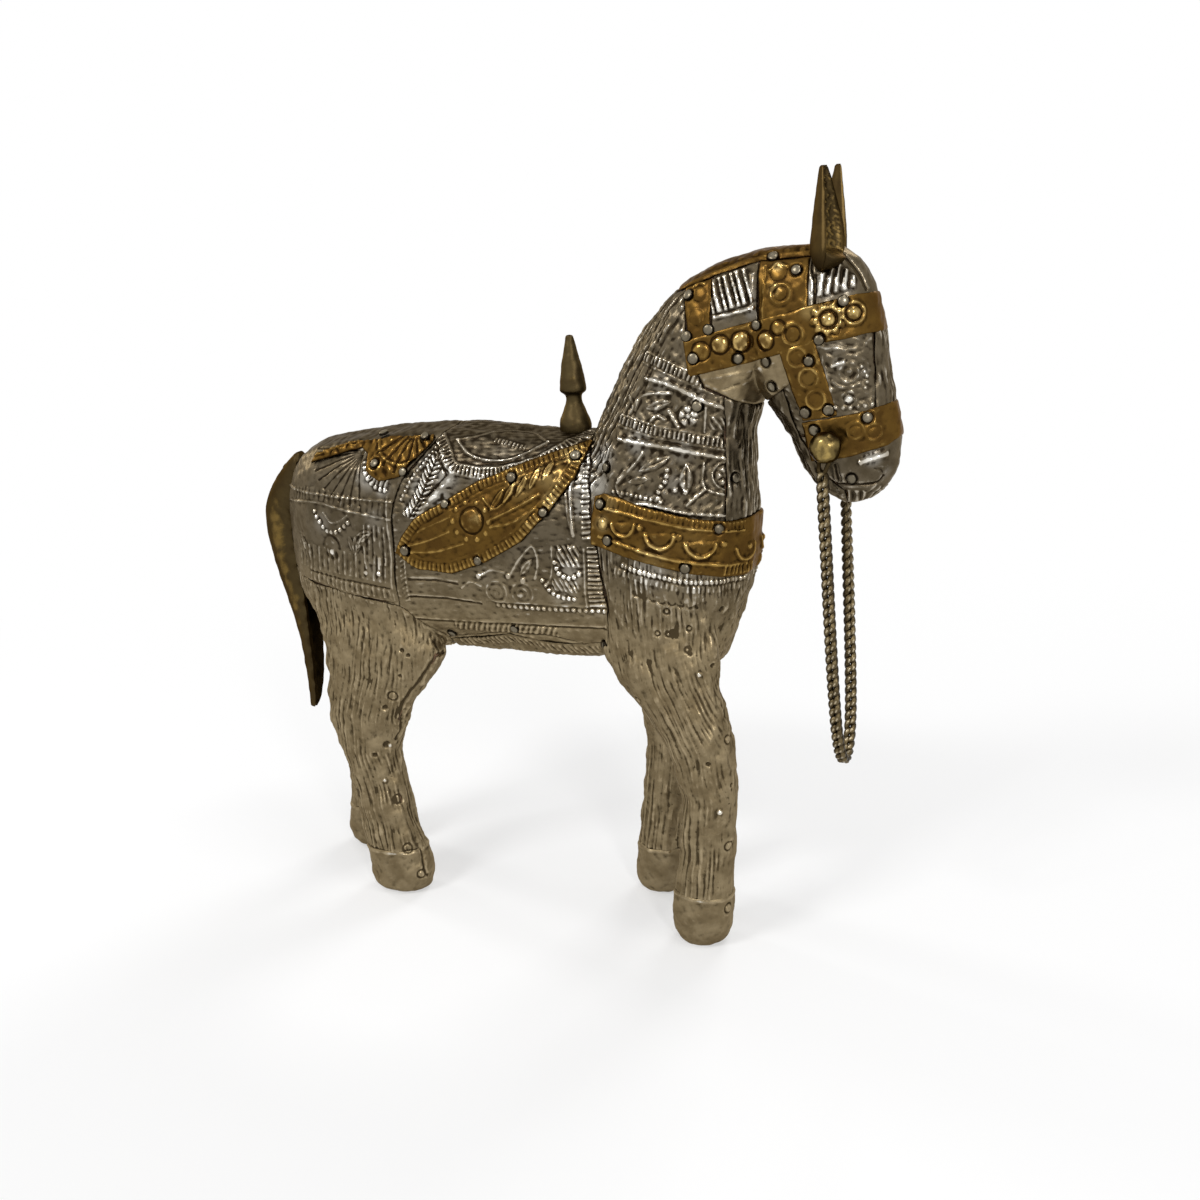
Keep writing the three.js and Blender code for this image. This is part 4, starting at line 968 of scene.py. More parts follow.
# Barrel plates. White metal round the flanks: a ribbed saddle-cloth arc at the top, a plait along the rump
# seam, a beaded medallion and scrolls below the brass leaf, and a ribbed pillar in front.
def chase_barrel(relief):
    """The saddle cloth and the plait, the medallion and scrolls below, and the pillar in front."""
    arc = [
        (-26, 155), (-22, 150.7), (-18.7, 146.6), (-12.7, 145), (-5.5, 144.6), (1.7, 145.8), (11.3, 149),
        (21, 155),
    ]
    relief.line(arc, 0.45, 0.4, offset=1.6)
    relief.line(arc, 0.3, 0.3, offset=-1.5)
    relief.ribs(arc, -1.3, 1.3, 1.35, 0.5)
    crescent = [(-19, 153.6), (-13.4, 149.6), (-5.1, 148), (2.2, 149.1), (10.5, 153)]
    relief.line(crescent, 0.5, 0.45)
    relief.line([(-19, 153.6), (-8, 155.4), (2, 155.2), (10.5, 153)], 0.3, 0.35)
    relief.ribs([(-6.5, 153.6), (3.5, 151.6)], -0.8, 0.8, 1.3, 0.4)
    plait = [(-25.3, 152.6), (-28.6, 147.5), (-32.6, 142.6), (-36.2, 136)]
    relief.beads(plait, 1.5, 0.6, 0.45)
    chevrons = [(-23.4, 149.8), (-26, 144), (-29.4, 136.5), (-33, 131)]
    relief.ribs(chevrons, -2.4, -0.2, 1.7, 0.6, slant=-0.8)
    relief.ribs(chevrons, 0.2, 2.2, 1.7, 0.5, slant=0.8)
    relief.line(chevrons, -0.2, 0.25)
    ribbon = [(-23.4, 150.6), (-20.2, 147), (-18.6, 143.6), (-21.9, 139.7), (-26.7, 135), (-29.8, 130.4)]
    relief.line(ribbon, 0.7, 1.2)
    relief.line(ribbon, -0.3, 0.3, offset=-1.9)
    relief.line([(-35.5, 112.3), (-26, 112.6), (-17.8, 112)], 0.2, 0.4)
    relief.line([(-35.5, 111.5), (-26, 111.7), (-17.8, 111)], -0.3, 0.35)
    relief.line([(-16.7, 109.9), (-13.5, 112), (-9.8, 110.9)], 0.35, 0.35)
    relief.line([(-36.5, 106.6), (-24, 106.6), (-10.9, 105.6)], 0.2, 0.35)
    relief.line([(-36.5, 105.7), (-24, 105.7), (-10.9, 104.8)], -0.35, 0.35)
    for x in (-4.8, 3.9):
        relief.ring((x, 109.3), 3.4, 0.45, 0.24)
        relief.ring((x, 109.3), 1.7, 0.35, 0.16)
        relief.dome((x - 0.4, 108.7), 0.9, 0.3)
    for place in ((-10.5, 113.9), (-0.4, 114.4), (4.6, 113.4)):
        relief.dome(place, 1.0, 0.6)
    relief.line([(0.2, 114.7), (3.6, 119.6), (8, 123.7), (9.6, 119), (8.5, 114)], 0.4, 0.4)
    relief.line([(-9.8, 114.2), (-6, 116), (-1.5, 115.4)], 0.35, 0.35)
    relief.leaf((5.6, 117.4), 6, 2.6, 0.45, 0.9)
    relief.beads([(10.7, 113.6), (13.2, 110.4), (16.6, 108.7), (21.4, 108.4)], 1.7, 0.75, 0.65)
    relief.beads([(15.1, 119.2), (16.2, 116.1), (19.5, 114.6), (22.6, 116)], 1.7, 0.8, 0.65)
    relief.line([(14.4, 124), (13.9, 116), (11.9, 112)], 0.3, 0.35)
    relief.ribs([(16.2, 121.5), (22.5, 121.5)], -3.5, 3, 1.6, 0.4, slant=0.5)
    relief.ribs([(14, 113.2), (22, 112.4)], -2.2, 1.4, 1.6, 0.35, slant=0.7)
    relief.dome((16.9, 123.2), 0.9, 0.5)
    relief.dome((20.2, 123.6), 0.9, 0.5)
    relief.line([(24.2, 123.6), (23.9, 105.8)], 0.35, 0.35)
    relief.ribs([(25, 124), (24.6, 106)], 0.1, 4.9, 1.35, 0.45)
    relief.line([(30.6, 124), (30.2, 106)], 0.3, 0.3)
    relief.ribs([(23.4, 150), (23.2, 140), (23.6, 126.6)], 0.4, 5.6, 1.5, 0.35, slant=0.1)
    relief.line([(21, 146.5), (20.2, 139), (21.6, 127.5)], 0.5, 0.4)
    relief.line([(18.8, 139.4), (19.9, 133), (21.4, 127)], 0.35, 0.35)
    relief.beads([(-5.1, 105), (5.1, 104.6), (16.3, 104.6), (29.6, 104.6)], 1.9, 0.75, 0.6)
    relief.line([(-9, 106.4), (5, 106.1), (29.6, 106)], 0.2, 0.3)
    relief.line([(-36, 98.6), (-14, 98.9), (8, 99.5), (29, 99.6)], 0.22, 0.4)
    relief.line([(-36, 97.8), (-14, 98.1), (8, 98.7), (29, 98.8)], -0.3, 0.35)
    relief.ribs([(-22, 96.9), (-2, 97.4), (13, 97.2)], -1.9, 1.2, 1.9, 0.45, slant=-0.5)
    relief.ribs([(-38.2, 120), (-38.6, 104.5)], 0.3, 2.2, 1.5, 0.25, slant=0.6)
    relief.line([(-35.9, 119.5), (-36.4, 104.5)], 0.25, 0.3)
    relief.beads([(28.6, 107), (28.4, 116), (28.6, 122)], 1.6, 0.3, 0.15)
    tear = [(-29, 90.9), (-15.4, 93.5), (-7.1, 95), (-1.5, 95.4), (7.8, 95.5), (14.5, 94.4), (19.8, 93.2)]
    relief.line(tear, -0.6, 0.45)
    relief.height += 0.07 * waves(relief.points * [0.35, 1, 1], 1.7, 52)
    relief.gloss_and_glint_spots(
        ((-27, 147), 4, 1), ((-29.5, 140), 4, 1), ((-32, 134), 3, 1), ((-20.5, 143.5), 5, 1),
        ((-22.5, 137.5), 4, 1), ((-9, 144.5), 5, 0.6), ((3, 146), 4.5, 0.8), ((12, 149.5), 4, 0.6),
        ((24, 148), 6, 1), ((24.5, 142), 6, 1), ((24, 135.5), 4, 0.9), ((20, 116), 4.5, 0.9),
        ((17, 109), 4.5, 0.9), ((-8, 113.5), 3.5, 0.4), ((4, 105), 5, 0.35), ((27, 104.6), 3, 0.8),
        ((-3, 150), 5, 0.35),
    )


for side, reach in SIDES.items():
    outline = [*SPINE_TO_FLANK, *BELLY_SEAM[1:], *GIRTH[1:]]
    plate = lay_sheet(f"barrel_sheet_{side}", outline, reach, WHITE, chase_barrel)
    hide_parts(f"barrel_plate_{side}")


# Belly plate. One sheet of white metal under the barrel, ribbed near its seams and otherwise only hammered.
# It is drawn as two halves that meet in the middle.
def chase_belly(relief):
    """Slanting ribs along the seam, and hammer marks."""
    relief.ribs([(-24, 91.4), (-4, 94), (13, 91.8), (24, 92.4)], -3.4, -0.3, 1.8, 0.35, slant=0.5)
    relief.height += 0.12 * waves(relief.points * [1, 0.5, 0.5], 2.4, 21)


belly_right = [(-27, 90.5), (-4, 94.5), (13, 92.3), (25, 93), (25, 68), (-27, 68)]
belly_left = [(-27, 90.5), (-4, 94.5), (13, 92.3), (13, 68), (-27, 68)]
for outline, reach, side in ((belly_right, (-CLEAR, 0), "right"), (belly_left, (0, CLEAR), "left")):
    plate = lay_sheet(f"belly_sheet_{side}", outline, reach, WHITE, chase_belly)
    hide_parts("belly_plate")


# Leg sleeves and hoof caps. White metal wrapped round each leg and chased with long strokes like hair, over a
# plain cap round each hoof.
COLLAR = {"front": 16.5, "hind": 15.5}
ELBOW = {"right": 25, "left": 13}
HAIR_DEPTH = 0.32
RING_DEPTH = 0.5
DENT_DEPTH = 0.7
# z and x of each leg's axis
LEG_AXES = {
    "front_right": [(0, 54.2), (19.5, 55.8), (47.5, 58), (63.5, 55.4), (83.5, 46), (92.5, 44), (130, 44)],
    "front_left": [(0, 30.8), (19.5, 32.8), (47.5, 36.2), (63.5, 37.6), (83.5, 38), (92.5, 42), (130, 44)],
    "hind_right": [(0, -54), (25.5, -57.2), (50.5, -61.6), (63.5, -61), (77.5, -56.2), (92, -54), (130, -58)],
    "hind_left": [
        (0, -81.6), (25.5, -80.2), (50.5, -78.6), (63.5, -75.8), (77.5, -69.6), (92, -62), (130, -58),
    ],
}
# x, z and radius of the pressed rings, the round dents and the nail points with a painted glint on each, on
# the near legs
LEG_RINGS = [
    (64.9, 67.4, 1.3), (64.7, 34, 1.5), (38.4, 78, 1.2), (63.8, 13.2, 1.5), (-46.7, 71.5, 1.6),
    (-50.2, 34.1, 1.5), (-47.4, 17, 1.6), (-43.9, 7.5, 1.5), (49.1, 106.3, 0.8), (49, 99.3, 0.7),
    (50.8, 99.7, 0.7), (54.7, 95, 0.8), (55, 101.1, 0.7), (46.1, 99.6, 0.7),
]
LEG_DENTS = [
    (-50, 67.4, 0.9), (-52.1, 53.5, 1.3), (-55.9, 50.3, 0.9), (65.8, 53.6, 0.6), (62.8, 105.5, 0.9),
    (61.1, 90.1, 0.7), (-41.2, 87.8, 0.7), (-39.3, 86.1, 0.7), (-42.8, 79, 0.6), (55.4, 93.8, 0.6),
    (60.2, 61, 0.7),
]
LEG_GLINTS = [(57.9, 87.7, 0.9), (62.9, 45.8, 0.9), (-51.4, 53.2, 0.7), (-53.6, 41, 0.9)]


def on_leg(leg, x, z):
    """The place on a leg that matches one on the right leg of the same pair."""
    own = np.array(LEG_AXES[leg])
    right = np.array(LEG_AXES[leg.replace("left", "right")])
    return x + np.interp(z, own[:, 0], own[:, 1]) - np.interp(z, right[:, 0], right[:, 1]), z


def chase_hair(relief, leg):
    """Long wavering grooves down a leg, a few cut deeper, with small pits between them."""
    axis = np.array(LEG_AXES[leg])
    x, y, z = relief.points.T
    along = 0.055 * z + 0.07 * np.clip(z - 80, 0, None)
    flow = np.column_stack([x - np.interp(z, axis[:, 0], axis[:, 1]), y, along])
    flow[:, 0] += 0.12 * waves(relief.points, 12, 33)
    patches = np.clip(0.75 + 0.6 * waves(relief.points, 15, 36), 0.15, 1)
    relief.height -= HAIR_DEPTH * patches * np.clip(0.42 + 0.75 * waves(flow, 1.4, 31, 24), 0, 1.15)
    relief.height -= 0.14 * np.clip((waves(flow * [1, 1, 2], 1.6, 32, 24) - 0.8) / 0.4, 0, 1)
    relief.height -= 0.12 * np.clip((waves(relief.points, 1.4, 34) - 1.4) / 0.3, 0, 1)
    relief.height += 0.3 * waves(relief.points * [1, 1, 0.6], 6, 35)
    press_marks(relief, leg)


def press_marks(relief, leg):
    """The rings, dents and nail points on a leg, with a painted glint on each nail point."""
    for x, z, radius in LEG_RINGS:
        relief.stamp(on_leg(leg, x, z), 3, pressed_ring(radius, RING_DEPTH))
    for x, z, radius in LEG_DENTS:

        def dent(a, b, radius=radius):
            return -DENT_DEPTH * np.exp(-((np.hypot(a, b) / radius) ** 4))

        relief.stamp(on_leg(leg, x, z), 3, dent)
    for x, z, radius in LEG_GLINTS:
        relief.dome(on_leg(leg, x, z), radius, 0.5)
        relief.gloss_and_glint_spot(on_leg(leg, x, z), radius, 0.7)


for leg in LEG_AXES:
    end, side = leg.split("_")
    collar = COLLAR[end]
    elbow = ELBOW[side]
    if end == "hind":
        outline = [*RUMP_FOOT[::-1], (-115, collar), (-27, collar), BELLY_SEAM[1]]
    else:
        seam = [place for place in BELLY_SEAM if place[0] >= elbow]
        outline = [(26.5, 133.5), (50, 127), (65, 123.5), (120, 123.5), (120, collar), (elbow, collar), *seam]
        outline += GIRTH[1:3]

    def chase_leg(relief):
        """Hair, the fold at the top of a hind leg, and the border under the breast band."""
        chase_hair(relief, leg)
        fold_line = [(-27.5, 89), (-32.3, 83.3), (-38.3, 75.9), (-44.3, 68.8), (-47.1, 61.2), (-49.8, 54.7)]
        relief.line([on_leg(leg, x, z) for x, z in fold_line], -0.8, 0.7)
        relief.scallops([(39, 112), (48, 109.8), (58, 108)], 2.7, 1.1, -0.35, 0.35)
        relief.gloss_and_glint_spots(((45, 117.6), 6, 0.8), ((57, 115.4), 6, 0.5))
        relief.beads([(36, 119.2), (46, 116.9), (57, 114.9), (71, 113.6)], 1.5, 0.85, 0.6)
        relief.ribs([(34, 118.9), (46, 116), (57, 114), (71, 112.7)], -2.2, -0.4, 1.5, 0.3)

    plate = lay_sheet(f"{leg}_sleeve", outline, SIDES[side], WHITE, chase_leg)
    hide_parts(f"{end}_leg_sleeve_{side}")
    rear, front = (-115, 0) if end == "hind" else (0, 120)

    def chase_hoof(relief):
        """A raised collar, soft dents, the sheet's seam and a few smoother spots with painted glints."""
        z = relief.points[:, 2]
        relief.height += 0.2 * np.clip(1 - np.abs(z - collar + 0.2) / 0.9, 0, 1) - 0.12
        relief.height += 0.2 * waves(relief.points, 6, 41)
        relief.line([on_leg(leg, x, z) for x, z in ((-45.6, 19), (-44.2, 13.2), (-43, 6))], -0.7, 0.4)
        for x, z, radius, amount in ((-51.5, 16.6, 2.2, 1), (57, 16.5, 1.6, 0.6), (50.5, 15.5, 1.4, 0.5)):
            relief.gloss_and_glint_spot(on_leg(leg, x, z), radius, amount)
        press_marks(relief, leg)

    outline = [(rear, -5), (front, -5), (front, collar + 0.9), (rear, collar + 0.9)]
    plate = lay_sheet(f"{leg}_hoof", outline, SIDES[side], WHITE, chase_hoof, 0.25)
    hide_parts(f"{end}_hoof_cap_{side}")


# Neck. White metal: a plate on each side with two ornamented fields between ribbed bands, a strip of hair
# strokes down the mane and another down the throat.
THROAT_TOP = [(65, 166), (72.5, 162), (78, 147.5)]
NECK_BACK = [(53.5, 195), (50, 194), (46, 215), (0, 215), (20, 167.5)]
NECK_OUTLINE = [
    (26.5, 133.5), (50, 127), (65, 123.5), (65, 166), (60, 168.5), (56, 176.5), *NECK_BACK, (21.5, 157.5),
    (25, 147.5),
]
STRIPES = [
    [(42.5, 176.9), (53.5, 172.4), (63.5, 168)],
    [(35, 159.9), (45.7, 157), (56, 155), (66.5, 152.4)],
]
BARS = [
    [(43.2, 171.2), (52, 168.8), (61.1, 164.3), (69.5, 161.4)],
    [(34.8, 154.6), (50.7, 152.3), (65, 149)],
]
MANE_HALF_WIDTH = 3.2


def chase_neck(relief):
    """Strokes beside the mane, ribbed stripes, and the flowers, leaves and scrolls of both fields."""
    x, y, z = relief.points.T
    from_mane = 0.87 * (x - 24) - 0.5 * (z - 150)
    along_mane = 0.5 * (x - 24) + 0.87 * (z - 150)
    strokes = waves(np.column_stack([from_mane, y, 0.09 * along_mane]), 1.3, 53, 24)
    relief.height -= 0.36 * np.clip(0.5 + strokes, 0, 1) * np.clip((9 - from_mane) / 3, 0, 1)
    for stripe in STRIPES:
        relief.ribs(stripe, -1.1, 1.1, 1.35, 0.5)
        relief.line(stripe, 0.3, 0.3, offset=1.5)
        relief.line(stripe, 0.25, 0.3, offset=-1.6)
    for bar in BARS:
        relief.line(bar, 0.75, 0.75)
    relief.line([(37, 136.6), (44.1, 136.9), (53.6, 134.9), (65, 133.2)], 0.6, 0.6)
    relief.beads([(33.5, 140), (42, 139), (49.5, 137.3)], 1.5, 0.6, 0.4)
    relief.line([(39.7, 162.5), (42.3, 166.6), (51, 167.2)], 0.4, 0.35)
    relief.leaf((47, 164), 8, 2.8, 0.5, 0.25)
    relief.line([(50.3, 162.6), (52.9, 157.9)], 0.6, 0.5)
    relief.flower((55.6, 160.9), 2.8, 5, 0.65, turn=0.4)
    relief.ring((57.8, 164.2), 1.2, 0.35, 0.4)
    relief.line([(60.4, 163.2), (59.8, 156.4)], 0.4, 0.35)
    relief.ribs([(61.2, 159), (69.4, 157.6)], -1.8, 1.8, 2.1, 0.35, slant=0.9)
    relief.line([(37.5, 160.8), (39, 163), (37.8, 166.5)], 0.3, 0.35)
    relief.line([(44, 158.8), (46.6, 161), (49.3, 160)], 0.4, 0.4)
    relief.line([(34.8, 142.6), (39.9, 147.7), (42.5, 151)], 0.4, 0.4)
    relief.leaf((46, 148), 10, 3.2, 0.55, 0.42)
    relief.beads([(49.9, 146.4), (49.4, 143.4), (47.7, 141), (47.4, 138.6)], 1.7, 0.75, 0.6)
    relief.leaf((55.2, 143.8), 8.6, 4, 0.6, math.pi / 2)
    relief.dome((55, 140.4), 0.9, 0.5)
    relief.dome((52.2, 140.8), 0.7, 0.45)
    relief.line([(55.4, 136.7), (59.9, 140.9)], 0.5, 0.45)
    relief.line([(59.6, 148), (59.6, 142), (62.8, 139.6), (68.3, 138.4)], 0.4, 0.4)
    relief.flower((64.9, 144.2), 3, 6, 0.6)
    relief.ring((64.9, 144.2), 3.7, 0.35, 0.35)
    relief.leaf((41.5, 143.5), 7, 2.2, 0.4, 0.15)
    relief.line([(36, 138.5), (34.5, 142), (37, 146)], 0.3, 0.4)
    relief.height += 0.1 * waves(relief.points, 2.0, 51)
    relief.gloss_and_glint_spots(
        ((48, 169.6), 4, 0.6), ((58, 165.8), 3, 0.5), ((41, 153.8), 4, 0.9), ((54, 151.5), 4, 0.6),
        ((56, 161), 3, 0.6), ((52, 142.5), 3.5, 0.6), ((42, 147), 3, 0.4), ((47, 175), 3, 0.2),
        ((40, 159), 3, 0.4), ((45, 136.8), 4, 0.6), ((29, 149), 5, 1), ((28.5, 141.5), 4, 1),
        ((47, 163), 3, 0.4),
    )


def chase_mane(relief):
    """Long grooves down the mane."""
    for y in (-2, -0.9, 0.2, 1.3, 2.4):
        groove = np.exp(-(((relief.points[:, 1] - y) / 0.35) ** 2))
        relief.height -= 0.3 * groove * (0.6 + 0.4 * waves(relief.points, 5, 61))


def chase_throat(relief):
    """Ribs and soft strokes down the throat, with a deep fold and three dents."""
    arc = relief.points[:, 1] + 0.25 * waves(relief.points, 6, 62)
    relief.height += 0.2 * np.cos(arc * 2 * math.pi / 2.3) * (0.55 + 0.45 * waves(relief.points, 9, 63))
    relief.height += 0.2 * waves(relief.points * [1, 1, 0.28], 2.2, 64)
    relief.line([(69.8, 163.3), (69, 157.6), (68, 151.6)], -0.5, 0.9)
    for place in ((69, 161), (67.6, 146.5), (68.5, 138)):
        relief.stamp(place, 4, lambda a, b: -0.4 * np.exp(-((a / 0.7) ** 2) - (b / 2.2) ** 2))


for side, (low, high) in SIDES.items():
    reach = (low, -MANE_HALF_WIDTH) if side == "right" else (MANE_HALF_WIDTH, high)
    plate = lay_sheet(f"neck_sheet_{side}", NECK_OUTLINE, reach, WHITE, chase_neck)
    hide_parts(f"neck_plate_{side}")
mane_outline = [(21.5, 157.5), (40, 167.5), *NECK_BACK[1:]]
mane_reach = (SEAM - MANE_HALF_WIDTH, MANE_HALF_WIDTH - SEAM)
plate = lay_sheet("mane_sheet", mane_outline, mane_reach, WHITE, chase_mane)
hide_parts("mane_strip")
throat_outline = [(65, 123.5), (120, 123.5), (90, 137.5), *THROAT_TOP[::-1]]
plate = lay_sheet("throat_sheet", throat_outline, BOTH, WHITE, chase_throat)
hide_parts("throat_strip")


# Head. Squares of white metal and brass, butted against each other: jowl and cheek plates, poll squares, the
# strip along the poll, the forelock, the nose, the muzzle cap and the jaw strip.
POLL_PLACES = {"rear": (53.5, 195), "flutes": (62, 197.7), "front": (74.5, 201), "forelock": (88, 201.6)}
CROWN_PLACES = {
    "rear": (56, 176.5), "flutes": (62, 178.1), "front": (74.5, 181.4), "strap": (83, 183.4),
    "forelock": (88, 184.5),
}
NOSE_TOP = (104, 186.5)
NOSE_FOOT = (105.5, 158)
JAW_INNER = [(81, 167.5), (83, 159.5), (84.6, 154.5), (87, 151), (91, 144.5), (97, 139.5)]


def chase_jowl(relief):
    """Faint folds on a plain sheet."""
    # painted highlights that make the sheet lighter
    relief.gloss_and_glint_spots(((66, 172.5), 10, 0.5), ((77, 171), 6, 0.5))
    relief.line([(60, 170.6), (70, 172), (79, 174.5)], 0.14, 0.5)
    relief.line([(64, 167.5), (71, 170.2), (73, 174)], -0.12, 0.4)


def chase_cheek(relief):
    """Two ringed bosses, scrolls and rows of beads."""
    relief.line([(91.6, 177.4), (95, 162.4)], 0.22, 0.4, curved=False)
    relief.line([(90.7, 178.3), (95.3, 177.9), (101.2, 177.6), (102.4, 178.8)], 0.18, 0.4)
    relief.ring((98.6, 171.6), 2.5, 0.4, 0.2)
    relief.dome((98.6, 171.6), 1.2, 0.28)
    relief.line([(94.3, 173.3), (97.4, 174.5)], 0.5, 0.45)
    relief.line([(95.4, 175.4), (99, 176), (102.4, 174.6), (103.6, 171.8)], 0.16, 0.4)
    relief.dome((98.6, 164.7), 1.2, 0.5)
    relief.ring((98.6, 164.7), 2.0, 0.4, 0.2)
    relief.beads([(95.3, 162.6), (98.1, 162.4), (100.8, 162.6), (105, 163.2)], 1.9, 0.65, 0.35)
    relief.beads([(101.6, 173), (103, 170.2), (102.6, 167.4)], 1.5, 0.55, 0.35)
    relief.line([(94.4, 169.6), (96.2, 168), (98.8, 167.8), (101.4, 168.6)], 0.22, 0.35)
    relief.height += 0.1 * waves(relief.points, 2.0, 71)
    relief.gloss_and_glint_spots(
        ((96, 174), 1.8, 0.7), ((102.4, 171.5), 1.8, 0.5), ((98.6, 164.7), 1.4, 0.8), ((95, 178), 2.5, 0.4),
    )


def chase_poll_rear(relief):
    """Two low bosses and a hook."""
    relief.dome((58.7, 193.2), 2, 0.4)
    relief.dome((58.2, 187.2), 2.2, 0.4)
    relief.line([(56.6, 195), (58, 196), (60, 195.6)], 0.35, 0.4)


def chase_flutes(relief):
    """Upright flutes between raised lines."""
    relief.ribs([(63, 187.3), (73.6, 190)], 0.6, 9.4, 1.75, 0.7, curved=False)
    relief.line([(62.9, 186.8), (68.4, 187.8), (73.4, 189)], 0.45, 0.4)
    relief.line([(62.6, 198), (73.5, 201)], 0.2, 0.4)
    relief.line([(73, 197.5), (73, 188.4)], 0.4, 0.7)
    relief.gloss_and_glint_spots(((65.5, 189.5), 3.5, 0.8), ((70.5, 192), 4, 0.9), ((72.8, 187.5), 2, 0.7))


def chase_poll_front(relief):
    """A boss under an arch, and a ringed boss below it."""
    relief.dome((79.9, 197.6), 2.2, 0.5)
    relief.line([(77.4, 198.2), (79.4, 199.8), (82, 199)], 0.45, 0.45)
    relief.ring((80.8, 192.3), 2.6, 0.5, 0.3)
    relief.dome((80.8, 192.3), 1.7, 0.35)
    relief.line([(76, 199.6), (76.2, 183.5)], 0.25, 0.4)
    relief.gloss_and_glint_spots(((79.6, 199.2), 1.6), ((79, 193.5), 2, 0.7))


def chase_poll_strip(relief):
    """Beads set wide apart over a raised line."""
    relief.beads([(60, 201.4), (74, 204.4), (87, 205)], 4.2, 0.9, 0.2)
    relief.line([(54, 195.8), (62, 198.6), (74.5, 201.9), (88, 202.6)], 0.16, 0.35)


def chase_forelock(relief):
    """Five short flutes, with grooves round them."""
    flutes = [((91.5, 197), (91.1, 191.6)), ((93.7, 198), (93, 191.9)), ((95.3, 198.6), (95, 192.3))]
    flutes += [((97.1, 197.4), (97.1, 192.8)), ((98.9, 195.8), (98.9, 193.4))]
    for flute in flutes:
        relief.line(flute, 0.7, 0.62, curved=False)
    relief.line([(89.8, 196.6), (89.9, 189)], -0.7, 0.35)
    relief.line([(86.8, 203.3), (88.6, 201), (88.8, 197.8), (89.8, 195)], -0.5, 0.35)
    relief.line([(95.7, 201.4), (98.5, 198.5), (100.4, 195.9), (102, 192.4)], -0.8, 0.5)
    relief.gloss_and_glint_spots(((92.4, 193.6), 3.5), ((88.8, 193), 2.2), ((97, 194), 3, 0.9))


def chase_nose(relief):
    """Shallow ribs that run along the sheet."""
    arc = relief.points[:, 1] + 0.25 * waves(relief.points, 6, 72)
    relief.height += 0.16 * np.cos(arc * 2 * math.pi / 2.2) * (0.55 + 0.45 * waves(relief.points, 7, 73))
    relief.height += 0.14 * waves(relief.points * [1, 1, 0.4], 2.2, 74)


def chase_muzzle(relief):
    """The nostril, the mouth and the ribs of the chin."""
    relief.line([(101.2, 147.9), (104.5, 148.9), (107.8, 149.9)], 0.75, 0.8)
    relief.line(
        [(93, 141.8), (96.1, 141.7), (99.1, 141.7), (102.9, 141.6), (105.4, 142), (107, 143.6)], -0.5, 0.45,
    )
    relief.line([(107, 143.6), (106.4, 145.6), (104.8, 146)], -0.25, 0.4)
    relief.line([(94.6, 147), (95.4, 142.6)], -0.35, 0.4)
    relief.ribs([(94, 138.6), (99, 138.2), (105, 138.6)], -2.4, 2.2, 2.0, 0.4)
    relief.gloss_and_glint_spots(((104.5, 148.8), 2.6), ((107.8, 144.5), 2, 0.5))


HEAD_SQUARES = {
    "poll_rear": ("rear", "flutes", BRASS, chase_poll_rear),
    "poll_flutes": ("flutes", "front", WHITE, chase_flutes),
    "poll_front": ("front", "forelock", BRASS, chase_poll_front),
}
JOWL_OUTLINE = [
    (60, 168.5), *THROAT_TOP[:2], (81, 167.5), (84.6, 169.5), CROWN_PLACES["strap"], CROWN_PLACES["front"],
    CROWN_PLACES["flutes"], CROWN_PLACES["rear"],
]
CHEEK_OUTLINE = [
    CROWN_PLACES["strap"], (84.6, 169.5), (81, 167.5), (83, 159.5), (84.6, 154.5), (98, 156), NOSE_FOOT,
    NOSE_TOP, CROWN_PLACES["forelock"],
]
for side, reach in SIDES.items():
    # the jowl is matt and painted lighter all over: painted light
    plate = lay_sheet(f"jowl_sheet_{side}", JOWL_OUTLINE, reach, WHITE, chase_jowl, matt_and_painted_light=1.0)
    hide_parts(f"jowl_plate_{side}")
    plate = lay_sheet(f"cheek_sheet_{side}", CHEEK_OUTLINE, reach, WHITE, chase_cheek)
    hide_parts(f"cheek_plate_{side}")
    for name, (start, end, sheet, chase) in HEAD_SQUARES.items():
        outline = [CROWN_PLACES[start], CROWN_PLACES[end], POLL_PLACES[end], POLL_PLACES[start]]
        plate = lay_sheet(f"{name}_sheet_{side}", outline, reach, sheet, chase)
        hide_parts(f"{name}_{side}")
HEAD_STRIPS = {
    "poll_strip": ([(50, 194), *POLL_PLACES.values(), (88, 215), (46, 215)], chase_poll_strip),
    "forelock_plate": (
        [CROWN_PLACES["forelock"], NOSE_TOP, (120, 188), (120, 215), (88, 215)], chase_forelock,
    ),
    "nose_plate": ([NOSE_TOP, NOSE_FOOT, (120, 160.5), (120, 188)], chase_nose),
    "muzzle_cap": (
        [(120, 160.5), NOSE_FOOT, (98, 156), (84.6, 154.5), *JAW_INNER[3:], (97, 127), (120, 127)],
        chase_muzzle,
    ),
    "jaw_strip": ([*THROAT_TOP[1:], (84, 127), (97, 127), *JAW_INNER[::-1]], chase_nose),
}
for name, (outline, chase) in HEAD_STRIPS.items():
    plate = lay_sheet(f"{name}_sheet", outline, BOTH, BRASS if name == "poll_strip" else WHITE, chase)
    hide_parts(name)


